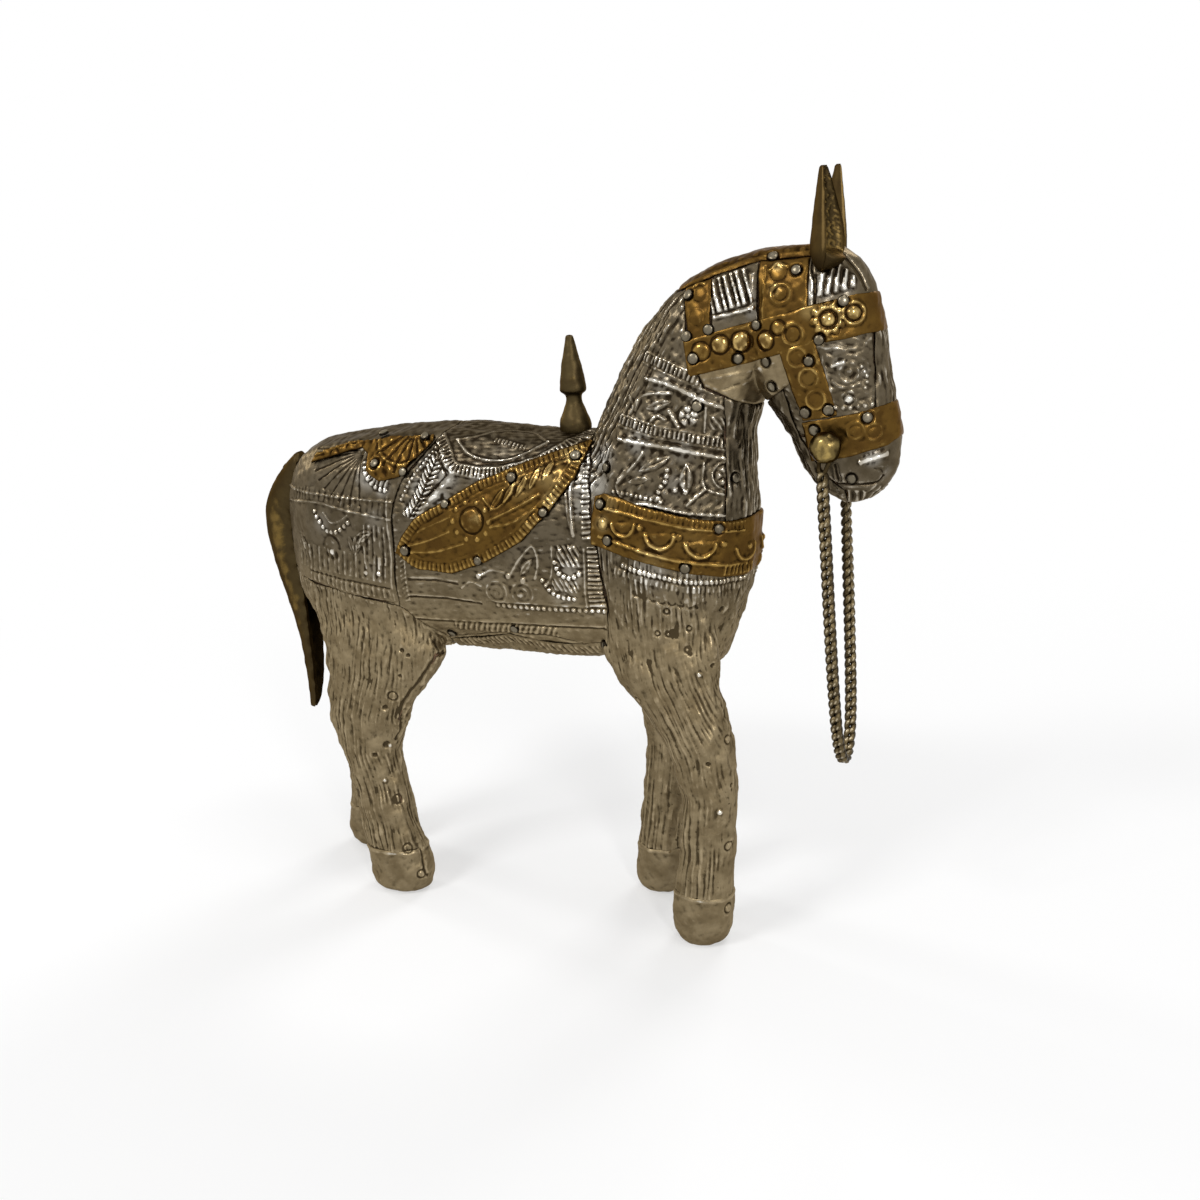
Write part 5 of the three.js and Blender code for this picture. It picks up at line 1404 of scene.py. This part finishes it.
# Brass overlays. Thinner straps and shapes of brass laid over the white metal: breast band, crown band,
# noseband, cheek straps, saddle leaves and rump fans.
BREAST_BAND = [
    (27.5, 138.5), (31, 139.5), (53, 134), (66, 131.5), (90, 131), (90, 112.5), (68, 115), (50, 119),
    (38, 122), (26.5, 125),
]
CROWN_BAND = [
    (54.4, 181), (63.2, 183.3), (75.8, 186.1), (90.2, 189.3), (99.7, 191.4), (125, 192.5), (125, 184.5),
    (101.1, 180.9), (90, 178.9), (80.3, 176.6), (67.9, 173.9), (55.8, 171.4),
]
CHEEK_STRAP = [(80.3, 178.1), (90, 180.5), (95.8, 160.5), (86.2, 158.9)]
NOSEBAND = [
    (85.8, 158.5), (96, 160.1), (107, 162.7), (125, 167.5), (125, 158.5), (112, 155), (108, 152.3),
    (99, 149.5), (88, 147.9),
]
SADDLE_LEAF = [
    (-39, 120), (-36, 125.5), (-31, 131), (-19, 137.3), (-8, 143), (2, 146.5), (12, 149.8), (25, 153.5),
    (21.5, 143.5), (14, 134), (5, 125.2), (-7, 118.5), (-19, 114.5), (-31, 115.1),
]
RUMP_FAN = [
    (-73, 146), (-53, 151.1), (-50, 149), (-49, 144.5), (-44, 141.7), (-36.6, 143.1), (-27, 153.5),
    (-29, 167.5), (-60, 167.5),
]


def chase_breast(relief):
    """A ribbed edge, four bowls with a dot after each, and ribs round the front of the chest."""
    top = [(29, 135.6), (41, 133.6), (55, 130.6), (68, 128.3)]
    foot = [(29, 127.4), (39, 124.8), (52, 121.6), (68, 118.8)]
    relief.line(top, 0.4, 0.4)
    relief.line(foot, 0.45, 0.45)
    relief.ribs(top, 0.6, 3, 1.5, 0.16)
    for number, x in enumerate((37.3, 48.2, 59, 69.2)):
        place = (x, 131.4 - 0.235 * (x - 37))
        radius = 4.1 if number else 3.6

        def bowl(a, b, radius=radius):
            r = np.hypot(a, b)
            rim = 0.65 * np.exp(-(((r - radius) / 0.5) ** 2))
            hollow = 0.35 * np.clip(1 - (r / radius) ** 2, 0, 1) ** 0.8
            return np.clip(0.6 - b, 0, 1) * (rim + hollow)

        relief.stamp(place, 7, bowl)
        relief.dome((x + 5.2, place[1] - 0.8), 1.0, 0.45)
    relief.dome((30.6, 131), 1.7, 0.5)
    front = relief.points[:, 0] > 71
    relief.height += 0.3 * front * np.cos(relief.points[:, 1] * 2 * math.pi / 2.6)
    relief.ribs([(64, 117.6), (72, 116.4)], -1.2, 1.6, 1.5, 0.35)
    relief.gloss_and_glint_spots(((30.6, 131), 2.6), ((46, 122.5), 5, 0.5), ((33, 136.5), 3, 0.6), ((56, 127), 5, 0.3))


def chase_crown(relief):
    """Five bosses in a row, one over the cheek strap, and two on the forehead, one with petals."""
    for x, z, radius, height in (
        (59.4, 178.1, 2.3, 0.5), (64.6, 179.8, 2.3, 0.8), (70.1, 180.3, 2.6, 0.9), (76.8, 180.4, 2.3, 0.8),
        (80.4, 183.6, 1.7, 0.35),
    ):
        relief.dome((x, z), radius, height)
        relief.ring((x, z), radius + 0.3, 0.35, -0.25)
    relief.ring((84.4, 181.9), 2.7, 0.45, 0.3)
    relief.dome((84.4, 181.9), 1.9, 0.4)
    for x, z, radius in ((93.4, 185.3, 3), (99.4, 186.6, 2.7)):
        relief.ring((x, z), radius, 0.5, 0.5)
        relief.dome((x, z), 1.9, 0.9)
    petals = [(93.4 + 3.7 * math.cos(a), 185.3 + 3.5 * math.sin(a)) for a in np.arange(0, 6.6, 0.7)]
    relief.beads(petals, 2.4, 0.9, 0.35)
    relief.gloss_and_glint_spots(
        ((70.1, 180.3), 2.6, 0.6), ((64.6, 179.8), 2.2, 0.4), ((76.8, 180.4), 2.2, 0.4),
        ((94, 185.6), 4, 0.7), ((99.4, 186.6), 3, 0.6), ((88.5, 187.5), 2.5, 0.8),
    )


def chase_strap(relief):
    """Three ringed bosses."""
    for place in ((85.4, 175.9), (88.4, 170.5), (90.2, 164.9)):
        relief.ring(place, 2.5, 0.5, 0.3)
        relief.dome(place, 1.8, 0.2)
    relief.gloss_and_glint_spot((88.4, 170.5), 2.4, 0.3)


def chase_noseband(relief):
    """Two ringed bosses and a small ring."""
    for place in ((100.2, 156.5), (104.7, 155.9)):
        relief.ring(place, 2.1, 0.5, 0.22)
        relief.dome(place, 1.5, 0.3)
    relief.ring((90, 151.3), 1.4, 0.35, 0.2)


def chase_saddle_leaf(relief):
    """A ribbed border, a boss with dots round it, veins and slanting leaves."""
    distance = inside_distance(relief.points[:, [0, 2]], SADDLE_LEAF)
    relief.height += 0.16 * np.exp(-(((distance - 3.6) / 0.4) ** 2))
    relief.height += 0.35 * np.clip((distance - 3.6) / 3, 0, 1)
    border = [
        (-37, 121.6), (-30.3, 129.7), (-18.8, 135.9), (-7.8, 141.6), (2.2, 145), (12, 148.3), (22.6, 151.6),
    ]
    relief.ribs(border, -1.4, 1.1, 1.55, 0.32, sharp=0.6)
    under = [
        (-37, 119), (-30.6, 116.6), (-19.2, 116), (-7.8, 119.9), (3.9, 126.2), (12.7, 134.8), (20, 144),
        (22.8, 151),
    ]
    relief.ribs(under, -1.1, 1.6, 1.55, 0.32, sharp=0.6)
    relief.dome((-10.8, 131), 3.4, 0.6)
    relief.ring((-10.8, 131), 3.9, 0.4, -0.3)
    relief.gloss_and_glint_spot((-9, 132), 2, 0.5)
    for number in range(10):
        angle = number * 2 * math.pi / 10
        relief.dome((-11 + 6 * math.cos(angle), 130.8 + 5.6 * math.sin(angle)), 0.9, 0.4)
    relief.line([(-34, 122.4), (-26, 124.6), (-18.5, 127.6)], 0.3, 0.4)
    relief.line([(-33, 120.6), (-24, 121.2), (-14, 124)], 0.3, 0.4)
    relief.line([(-30, 127), (-24, 129.6), (-17.8, 132)], 0.25, 0.4)
    relief.line([(-4.5, 131.4), (3, 134.5), (11, 138.8)], 0.4, 0.45)
    relief.line([(-4.5, 129.4), (3, 131), (10, 134.8)], 0.3, 0.4)
    for number in range(5):
        x = -4 + number * 3.9
        relief.leaf((x + 1.6, 137 + number * 2.1), 8.5 - 0.5 * number, 2.0, 0.6, 1.02 + 0.05 * number)
    relief.line([(-7, 137.4), (-3, 134.4), (2, 138.8), (3, 143)], 0.4, 0.4)
    relief.gloss_and_glint_spots(
        ((14, 144), 5, 0.8), ((19, 149), 4, 0.9), ((15, 137.5), 3.5, 0.9), ((5, 141), 5, 0.6),
        ((-8, 133), 3, 0.3), ((8, 131), 3.5, 0.35),
    )


def chase_fan(relief):
    """A shell of rays with a raised edge, and small rings behind it."""
    for number in range(8):
        angle = math.radians(196 + number * 19)
        start = (-34.5 + 3.5 * math.cos(angle), 156.5 + 3 * math.sin(angle))
        relief.line([start, (-34.5 + 14 * math.cos(angle), 156.5 + 12.5 * math.sin(angle))], -0.55, 0.5)
    relief.line([(-47.6, 155.8), (-44.4, 149), (-36.6, 146.4), (-30.6, 148.2)], 0.55, 0.55)
    relief.line([(-72, 147.8), (-62, 150.8), (-53.4, 152.8)], 0.35, 0.4)
    for x in (-66.5, -61, -56.4):
        relief.ring((x, 150.4 + 0.23 * (x + 66)), 1.8, 0.4, 0.25)
    relief.ring((-45.8, 146.6), 2.2, 0.4, 0.2)
    relief.height += 0.15 * waves(relief.points, 3, 92)


BRASS_OVERLAYS = {
    "breast_band": (BREAST_BAND, BOTH, chase_breast),
    "crown_band": (CROWN_BAND, BOTH, chase_crown),
    "noseband": (NOSEBAND, BOTH, chase_noseband),
}
for name, (outline, reach, chase) in BRASS_OVERLAYS.items():
    over = BRASS_LIFT if name == "breast_band" else HEAD_LIFT
    plate = lay_sheet(f"{name}_sheet", outline, reach, BRASS, chase, over, seam=0)
    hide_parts(name)
PAIRED_OVERLAYS = {
    "cheek_strap": (CHEEK_STRAP, chase_strap),
    "saddle_leaf": (SADDLE_LEAF, chase_saddle_leaf),
    "rump_fan": (RUMP_FAN, chase_fan),
}
FAN_END = 11.8
FAN_SIDES = {"right": (-CLEAR, -FAN_END), "left": (FAN_END, CLEAR)}
for name, (outline, chase) in PAIRED_OVERLAYS.items():
    for side, reach in (FAN_SIDES if name == "rump_fan" else SIDES).items():
        label = f"{name}_sheet_{side}"
        over = HEAD_LIFT if name == "cheek_strap" else BRASS_LIFT
        plate = lay_sheet(label, outline, reach, BRASS, chase, over, seam=0)
        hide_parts(f"{name}_{side}")


# Tacks. About a hundred small round-headed steel tacks hold the sheets down. Each has a low worn dome with a
# dark rim.
TACK_HEIGHT = 0.55
TACK_STEPS = 20
# shares of the radius and the height, and how worn the metal is there, from the foot to the top
HEAD_PROFILE = [
    (1.0, -0.9, -0.5), (1.0, -0.1, -0.5), (0.94, 0.25, -0.35), (0.8, 0.55, -0.04), (0.58, 0.8, 0.02),
    (0.32, 0.95, 0.05), (0.02, 1.0, 0.06),
]
# radius and height of the frame's own tacks, which stand a little higher over the brass
FRAME_TACK = (1.7, 0.9)
FRAME_TACK_LIFT = BRASS_LIFT + 0.2
tack_metal = metal(
    "tack_metal",
    patina=(0.012, 0.009, 0.006, 1),
    middle=(0.17, 0.146, 0.102, 1),
    stain=(0.11, 0.09, 0.06, 1),
    ridge=(0.37, 0.325, 0.245, 1),
    glint_colour=(0.8, 0.78, 0.7, 1),
    rough=(0.18, 0.3),
    matt_painted_colours=WHITE_MATT_FLOOR_SHEEN,
    grazing=WHITE_GRAZING,
)


def disc_head(spot, normal, radius, height):
    """A round head with a rolled edge, as points and quads, and how worn each of its rings is."""
    ahead = np.cross(normal, [0.0, 1.0, 0.3])
    ahead /= np.linalg.norm(ahead)
    aside = np.cross(normal, ahead)
    angles = np.arange(TACK_STEPS) * 2 * math.pi / TACK_STEPS
    circle = np.outer(np.cos(angles), ahead) + np.outer(np.sin(angles), aside)
    rings = [spot + circle * radius * wide + normal * height * high for wide, high, _ in HEAD_PROFILE]
    worn = np.repeat([rise_by_height for _, _, rise_by_height in HEAD_PROFILE], TACK_STEPS)
    return np.vstack(rings), ring_faces(len(HEAD_PROFILE), TACK_STEPS, closed=False), worn


def add_tacks(name, seats, radius, height, material, slot):
    """One piece of many tack heads, each at its own spot and normal."""
    dice = np.random.default_rng(len(name) + 5)
    heads = [disc_head(spot, normal, radius * dice.uniform(0.92, 1.05), height) for spot, normal in seats]
    size = len(heads[0][0])
    points = np.vstack([points for points, _, _ in heads])
    faces = np.vstack([faces + size * number for number, (_, faces, _) in enumerate(heads)])
    rise = [worn + dice.uniform(-0.06, 0.07) * (worn > -0.1) for _, _, worn in heads]
    attributes = {"rise": np.concatenate(rise)}
    piece = new_object(name, in_frame(points), faces, material, "horse", attributes)
    return piece


def tack_seats(places, lift):
    """The spot and normal of a tack on each side of the horse for each place in the side view."""
    seats = []
    for x, z in places:
        on_head = x >= HEAD_FROM[0] and z >= HEAD_FROM[1]
        for sign in SIGNS.values():
            spot, normal = seat(x, z, sign)
            seats.append((spot + normal * (min(lift, HEAD_LIFT) if on_head else lift), normal))
    return seats


TACK_GROUPS = {"white_metal": (WHITE_TACKS, 0), "brass": (BRASS_TACKS, BRASS_LIFT), "poll": (POLL_TACKS, 0)}
for name, (places, lift) in TACK_GROUPS.items():
    add_tacks(f"{name}_tacks", tack_seats(places, lift), TACK_RADIUS, TACK_HEIGHT, tack_metal, "tack_metal")
for place_name, (x, z) in FRAME_TACKS.items():
    for side, sign in SIGNS.items():
        spot, normal = seat(x, z, sign)
        seats = [(spot + normal * FRAME_TACK_LIFT, normal)]
        head = add_tacks(f"head_{place_name}_{side}", seats, *FRAME_TACK, tack_metal, "tack_metal")
        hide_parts(f"tack_{place_name}_{side}")


# Ears. Two dark brass castings, each a blunt leaf with a smooth round back, a crisp rim and a rough shallow
# hollow, bedded on the forelock plate by its closed foot.
cast_brass = metal(
    "cast_brass",
    patina=(0.028, 0.018, 0.007, 1),
    middle=(0.066, 0.047, 0.02, 1),
    stain=(0.052, 0.036, 0.016, 1),
    ridge=(0.2, 0.13, 0.036, 1),
    glint_colour=(0.42, 0.3, 0.1, 1),
    rough=(0.34, 0.42),
    matt_painted_colours=BROWN_MATT_SHADED,
    grazing=(0.6, 0.52, 0.46, 1),
)
EAR_X = 91
EAR_Y = 7.8
EAR_FOOT = 197.4
# turn, height, flare of the foot, width, and where it stands: the left one is set straighter and further back
EARS = {"right": (0.3, 26, 1.6, 1, 0.58, 0), "left": (0.42, 27.2, 0.2, 0.88, 0.2, 0.9)}
EAR_ROWS = 70
EAR_ARC = 26
HOLLOW_FROM = 0.12
# share of the height, half width, depth
EAR_SHAPE = [
    (0, 0.6, 0.6), (0.02, 1.9, 2.3), (0.06, 3.1, 4.2), (0.13, 4.3, 6), (0.24, 4.8, 6.9), (0.4, 4.7, 6.4),
    (0.6, 3.7, 5), (0.8, 2.5, 3.4), (0.94, 1.6, 2.1), (0.985, 1.2, 1.6), (1, 0.6, 0.9),
]


def closed_ends(points, rows, steps):
    """Quads along the rows, and a row of quads across each end."""
    faces = ring_faces(rows, steps, closed=False)
    caps = []
    for ring, flip in ((0, False), (rows - 1, True)):
        start = ring * steps
        for step in range(1, steps // 2):
            quad = [start + step - 1, start + step, start + steps - 1 - step, start + steps - step]
            caps.append(quad[::-1] if flip else quad)
    return np.vstack([faces, np.array(caps)])


def cast_roughness(points, strength):
    """The small unevenness of a casting."""
    return strength * (waves(points, 3.2, 81) + 0.4 * waves(points, 1.4, 82))


def cast_piece(name, points, faces, attributes, body="horse"):
    """A piece of dark cast brass."""
    piece = new_object(name, in_frame(points), faces, cast_brass, body, attributes)
    return piece


shape = smooth_curve(EAR_SHAPE, 0.02)
share = np.linspace(0, 1, EAR_ROWS)
order = np.argsort(shape[:, 0])
half_width = np.interp(share, shape[order, 0], shape[order, 1])
depth = np.interp(share, shape[order, 0], shape[order, 2])
bend = np.linspace(-math.pi / 2, math.pi / 2, EAR_ARC)
for side, (ear_turn, ear_height, flare, slim, ahead, further) in EARS.items():
    sign = SIGNS[side]
    rings = []
    rises = []
    for t, wide, deep in zip(share, half_width, depth):
        hollow = np.clip((t - HOLLOW_FROM) / 0.1, 0, 1) * np.clip((1 - t) / 0.03, 0, 1)
        back = np.stack([-deep * np.cos(bend), wide * np.sin(bend)], 1)
        fullness = 0.55 * (1 - hollow) - 0.42 * hollow
        face = np.stack([fullness * deep * np.cos(bend[::-1]) ** 0.8, 0.94 * wide * np.sin(bend[::-1])], 1)
        section = (np.vstack([back, face]) + [deep * ahead, 0]) * slim
        foot = flare * np.clip(1 - t / 0.45, 0, 1)
        section += [0.3 * foot, sign * foot]
        rings.append(np.column_stack([section, np.full(len(section), EAR_FOOT + t * ear_height)]))
        rim = 0.3 * np.exp(-(((np.abs(bend) - 1.48) / 0.06) ** 2)) * hollow
        rises.append(np.concatenate([rim, 0.5 * rim + 0.22 * hollow * np.clip(1 - t / 0.7, 0, 1)]))
    points = np.vstack(rings)
    turn = sign * ear_turn
    x = points[:, 0] * math.cos(turn) - points[:, 1] * math.sin(turn)
    y = points[:, 0] * math.sin(turn) + points[:, 1] * math.cos(turn)
    points = np.column_stack([x + EAR_X + further, y + sign * EAR_Y, points[:, 2]])
    inside_ear = np.tile(np.concatenate([np.zeros(EAR_ARC), np.cos(bend) ** 0.5]), EAR_ROWS)
    pitted = inside_ear * (0.2 * waves(points, 1.2, 83) + 0.1 * waves(points, 0.7, 84))
    in_hollow = np.repeat(np.clip((share - HOLLOW_FROM) / 0.1, 0, 1), 2 * EAR_ARC)
    rough = cast_roughness(points, 0.05) + pitted * in_hollow
    points[:, 0] += rough
    attributes = {"rise": np.concatenate(rises) + 0.6 * rough, "matt_and_painted_light": 0.8 - 0.4 * inside_ear}
    faces = closed_ends(points, EAR_ROWS, 2 * EAR_ARC)
    ear = cast_piece(f"cast_ear_{side}", points, faces, attributes)
    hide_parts(f"ear_{side}")


# Saddle finial. A small rough brass casting: a bell foot, a thin neck and a tall blunt cone, a little out of
# true. A tang in the wood holds it.
FINIAL_FOOT = 152.6
FINIAL_STEPS = 36
SEAM_ANGLE = 1.9
# height and rise
NO_RISE = ((0, 0), (1, 0))
# radius and height above the foot
FINIAL_PROFILE = [
    (0.4, -0.6), (3.2, -0.4), (4.5, 1.6), (4.9, 3.8), (4.5, 6), (3.4, 8.6), (2.6, 10.8), (2.5, 12.4),
    (2.9, 13.2), (3.9, 14), (4.1, 15), (3.8, 17.5), (3, 21.6), (2.1, 25.8), (1.3, 29.4), (0.9, 30.2),
    (0.2, 30.4),
]


def turned_piece(name, profile, place, axis, steps, strength, squash=1.0, lean=0.0, seam=0.0, rise_by_height=NO_RISE):
    """A casting of revolution about an axis, from its profile of radius and height."""
    curve = smooth_curve(profile, 0.3)
    ahead = np.array([0.0, 1, 0]) if abs(axis[1]) < 0.9 else np.array([1.0, 0, 0])
    ahead = ahead - np.dot(ahead, axis) * np.array(axis)
    ahead /= np.linalg.norm(ahead)
    aside = np.cross(axis, ahead)
    angles = np.arange(steps) * 2 * math.pi / steps
    circle = np.outer(np.cos(angles) * squash, ahead) + np.outer(np.sin(angles), aside)
    rings = []
    for radius, height in curve:
        middle = np.array(place) + np.array(axis) * height + np.array([lean, 0, 0]) * height
        rings.append(middle + circle * max(radius, 0.05))
    points = np.vstack(rings)
    outward = np.tile(circle, (len(curve), 1))
    from_seam = np.angle(np.exp(1j * (np.tile(angles, len(curve)) - SEAM_ANGLE)))
    rough = cast_roughness(points, strength) - seam * np.exp(-((from_seam / 0.09) ** 2))
    points = points + outward * rough[:, None]
    faces = ring_faces(len(curve), steps, closed=False)
    worn = np.repeat(np.interp(curve[:, 1], *np.transpose(rise_by_height)), steps)
    # a piece with a rise along its height takes the glint colours all over: a painted highlight
    attributes = {"rise": rough * 0.5 + worn, "gloss_and_glint": np.abs(worn) > 0}
    return cast_piece(name, points, faces, attributes)


finial = turned_piece(
    "cast_finial", FINIAL_PROFILE, (FINIAL_X, 0, FINIAL_FOOT), (0, 0, 1), FINIAL_STEPS, 0.07,
    squash=0.86, lean=-0.02, seam=0.3,
)
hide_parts("saddle_finial")


# Tail. A heavy brass casting: a deep channel that hugs the rump and narrows to an open tip, smooth and round
# outside, worn yellow along its sides, and nailed on at the top.
TAIL_BACK = 1.6
TAIL_WALL = 1.4
TAIL_ARC = 30
# x, z of the middle line, half width, depth of the channel
TAIL = [
    (-86.8, 146.4, 2, 1.2), (-88.6, 145.6, 3.4, 2.4), (-92.8, 141.8, 4.3, 6.5), (-97.8, 136.4, 4.9, 10),
    (-101.6, 129.5, 5, 12), (-102.6, 121.5, 5, 12), (-100.8, 110.5, 4.9, 10.4), (-97.2, 96.5, 4.5, 8),
    (-94, 82.5, 3.8, 4.4), (-93.2, 69.5, 3, 2.9), (-93.4, 60.5, 1.8, 1.6), (-93.9, 56.8, 0.8, 0.6),
]
TAIL_NAIL = (-92.8, 141.8)
NAIL_OUT = np.array([-0.86, 0, 0.51])
# radius and height of the nail's head
NAIL_HEAD = (1.7, 0.7)
rows = smooth_curve(TAIL, 0.8)
run = np.gradient(rows[:, :2], axis=0)
run /= np.linalg.norm(run, axis=1)[:, None]
out = np.stack([run[:, 1], -run[:, 0]], 1)
out *= np.where(out[:, :1] > 0, -1, 1)
bend = np.linspace(-1, 1, TAIL_ARC)
rings = []
worn = []
for (x, z, half, deep), (out_x, out_z) in zip(rows, out):
    wall = min(TAIL_WALL, 0.4 * half)
    spread = np.sign(bend) * np.abs(bend) ** 0.75
    outer_away = (deep + TAIL_BACK) * np.sqrt(np.clip(1 - bend**2, 0, 1)) ** 1.1 - deep
    inner_away = deep * np.sqrt(np.clip(1 - bend[::-1] ** 2, 0, 1)) ** 1.1 - deep
    side_ways = np.concatenate([half * spread, (half - wall) * spread[::-1]])
    away = np.concatenate([outer_away, inner_away])
    rings.append(np.column_stack([x + out_x * away, side_ways, z + out_z * away]))
    strip = np.exp(-(((np.abs(bend) - 0.8) / 0.16) ** 2))
    strip *= np.clip((140 - z) / 14, 0, 1) * np.clip((z - 78) / 24, 0, 1)
    chips = -0.1 * np.exp(-(((np.abs(bend) - 1) / 0.04) ** 2))
    worn.append(np.concatenate([0.15 * strip + chips, np.full(TAIL_ARC, -0.05)]))
points = np.vstack(rings)
rough = cast_roughness(points, 0.07)
points[:, 0] += 0.5 * rough
points[:, 1] += rough
# painted shade: the inside of the channel, and less so the middle of its back, take the darker matt colours
shade = np.tile(np.concatenate([0.75 * (1 - np.abs(bend) ** 3), np.ones(TAIL_ARC)]), len(rows))
attributes = {"rise": np.concatenate(worn) + rough * 0.6, "matt_and_painted_light": shade}
faces = closed_ends(points, len(rows), 2 * TAIL_ARC)
tail = cast_piece("cast_tail", points, faces, attributes)
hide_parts("tail")
nail_seat = np.array([TAIL_NAIL[0], 0, TAIL_NAIL[1]]) + NAIL_OUT * (TAIL_BACK - 0.3)
nail = add_tacks("tail_nail_head", [(nail_seat, NAIL_OUT)], *NAIL_HEAD, cast_brass, "cast_brass")
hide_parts("tail_nail")


# Rein bosses and end rings. A domed brass stud through each side of the noseband, with a pear-shaped wire eye
# round its neck that the chain hangs from.
REIN_X = 93.4
REIN_Z = 152.5
BOSS_PROFILE = [
    (0.3, 8.5), (3, 10.8), (2.9, 12.6), (2.4, 12.9), (1.5, 13.1), (1.5, 14.4), (3.2, 14.6), (4.2, 15.2),
    (4.1, 16.2), (3.4, 17.4), (2.1, 18.3), (0.9, 18.6), (0.1, 18.7),
]
EYE_Y = 13.8
EYE_WIRE = 0.6
EYE_RADIUS = 2.5
EYE_REACH = 7.2
EYE_TURN = 0.2
EYE_SIDES = 12
BOSS_STEPS = 40
# rise along the boss's height: painted shade round the foot of the dome and a painted highlight on its top
BOSS_SHADING = ((14.6, -0.34), (15.6, -0.22), (16.6, -0.14), (17.6, -0.04), (18.5, 0.14))
for side, sign in SIGNS.items():
    place = (REIN_X, 0, REIN_Z)
    boss = turned_piece(
        f"cast_boss_{side}", BOSS_PROFILE, place, (0, sign, 0), BOSS_STEPS, 0.12, rise_by_height=BOSS_SHADING,
    )
    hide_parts(f"rein_boss_{side}")
    loop = [(EYE_RADIUS * math.sin(a), EYE_RADIUS * math.cos(a)) for a in np.linspace(-2.1, 2.1, 9)]
    loop += [(1.3, -4.4), (0.8, 0.5 - EYE_REACH), (0, -EYE_REACH), (-0.8, 0.5 - EYE_REACH), (-1.3, -4.4)]
    eye = smooth_curve(loop, 0.4, closed=True)[:-1]
    c, s = math.cos(EYE_TURN), math.sin(EYE_TURN)
    eye = np.column_stack([c * eye[:, 0] + s * eye[:, 1], np.zeros(len(eye)), c * eye[:, 1] - s * eye[:, 0]])
    run = np.roll(eye, -1, 0) - np.roll(eye, 1, 0)
    run /= np.linalg.norm(run, axis=1)[:, None]
    across_wire = np.tile([0.0, 1, 0], (len(eye), 1))
    centres = eye + [REIN_X, sign * EYE_Y, REIN_Z]
    rings = tube_rings(centres, across_wire, np.cross(run, across_wire), EYE_WIRE, EYE_SIDES)
    points = rings.reshape(-1, 3)
    attributes = {"rise": cast_roughness(points, 0.08)}
    faces = ring_faces(len(eye), EYE_SIDES, closed=True)
    ring = cast_piece(f"rein_eye_{side}", points, faces, attributes, "rein")
    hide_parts(f"rein_end_ring_{side}")
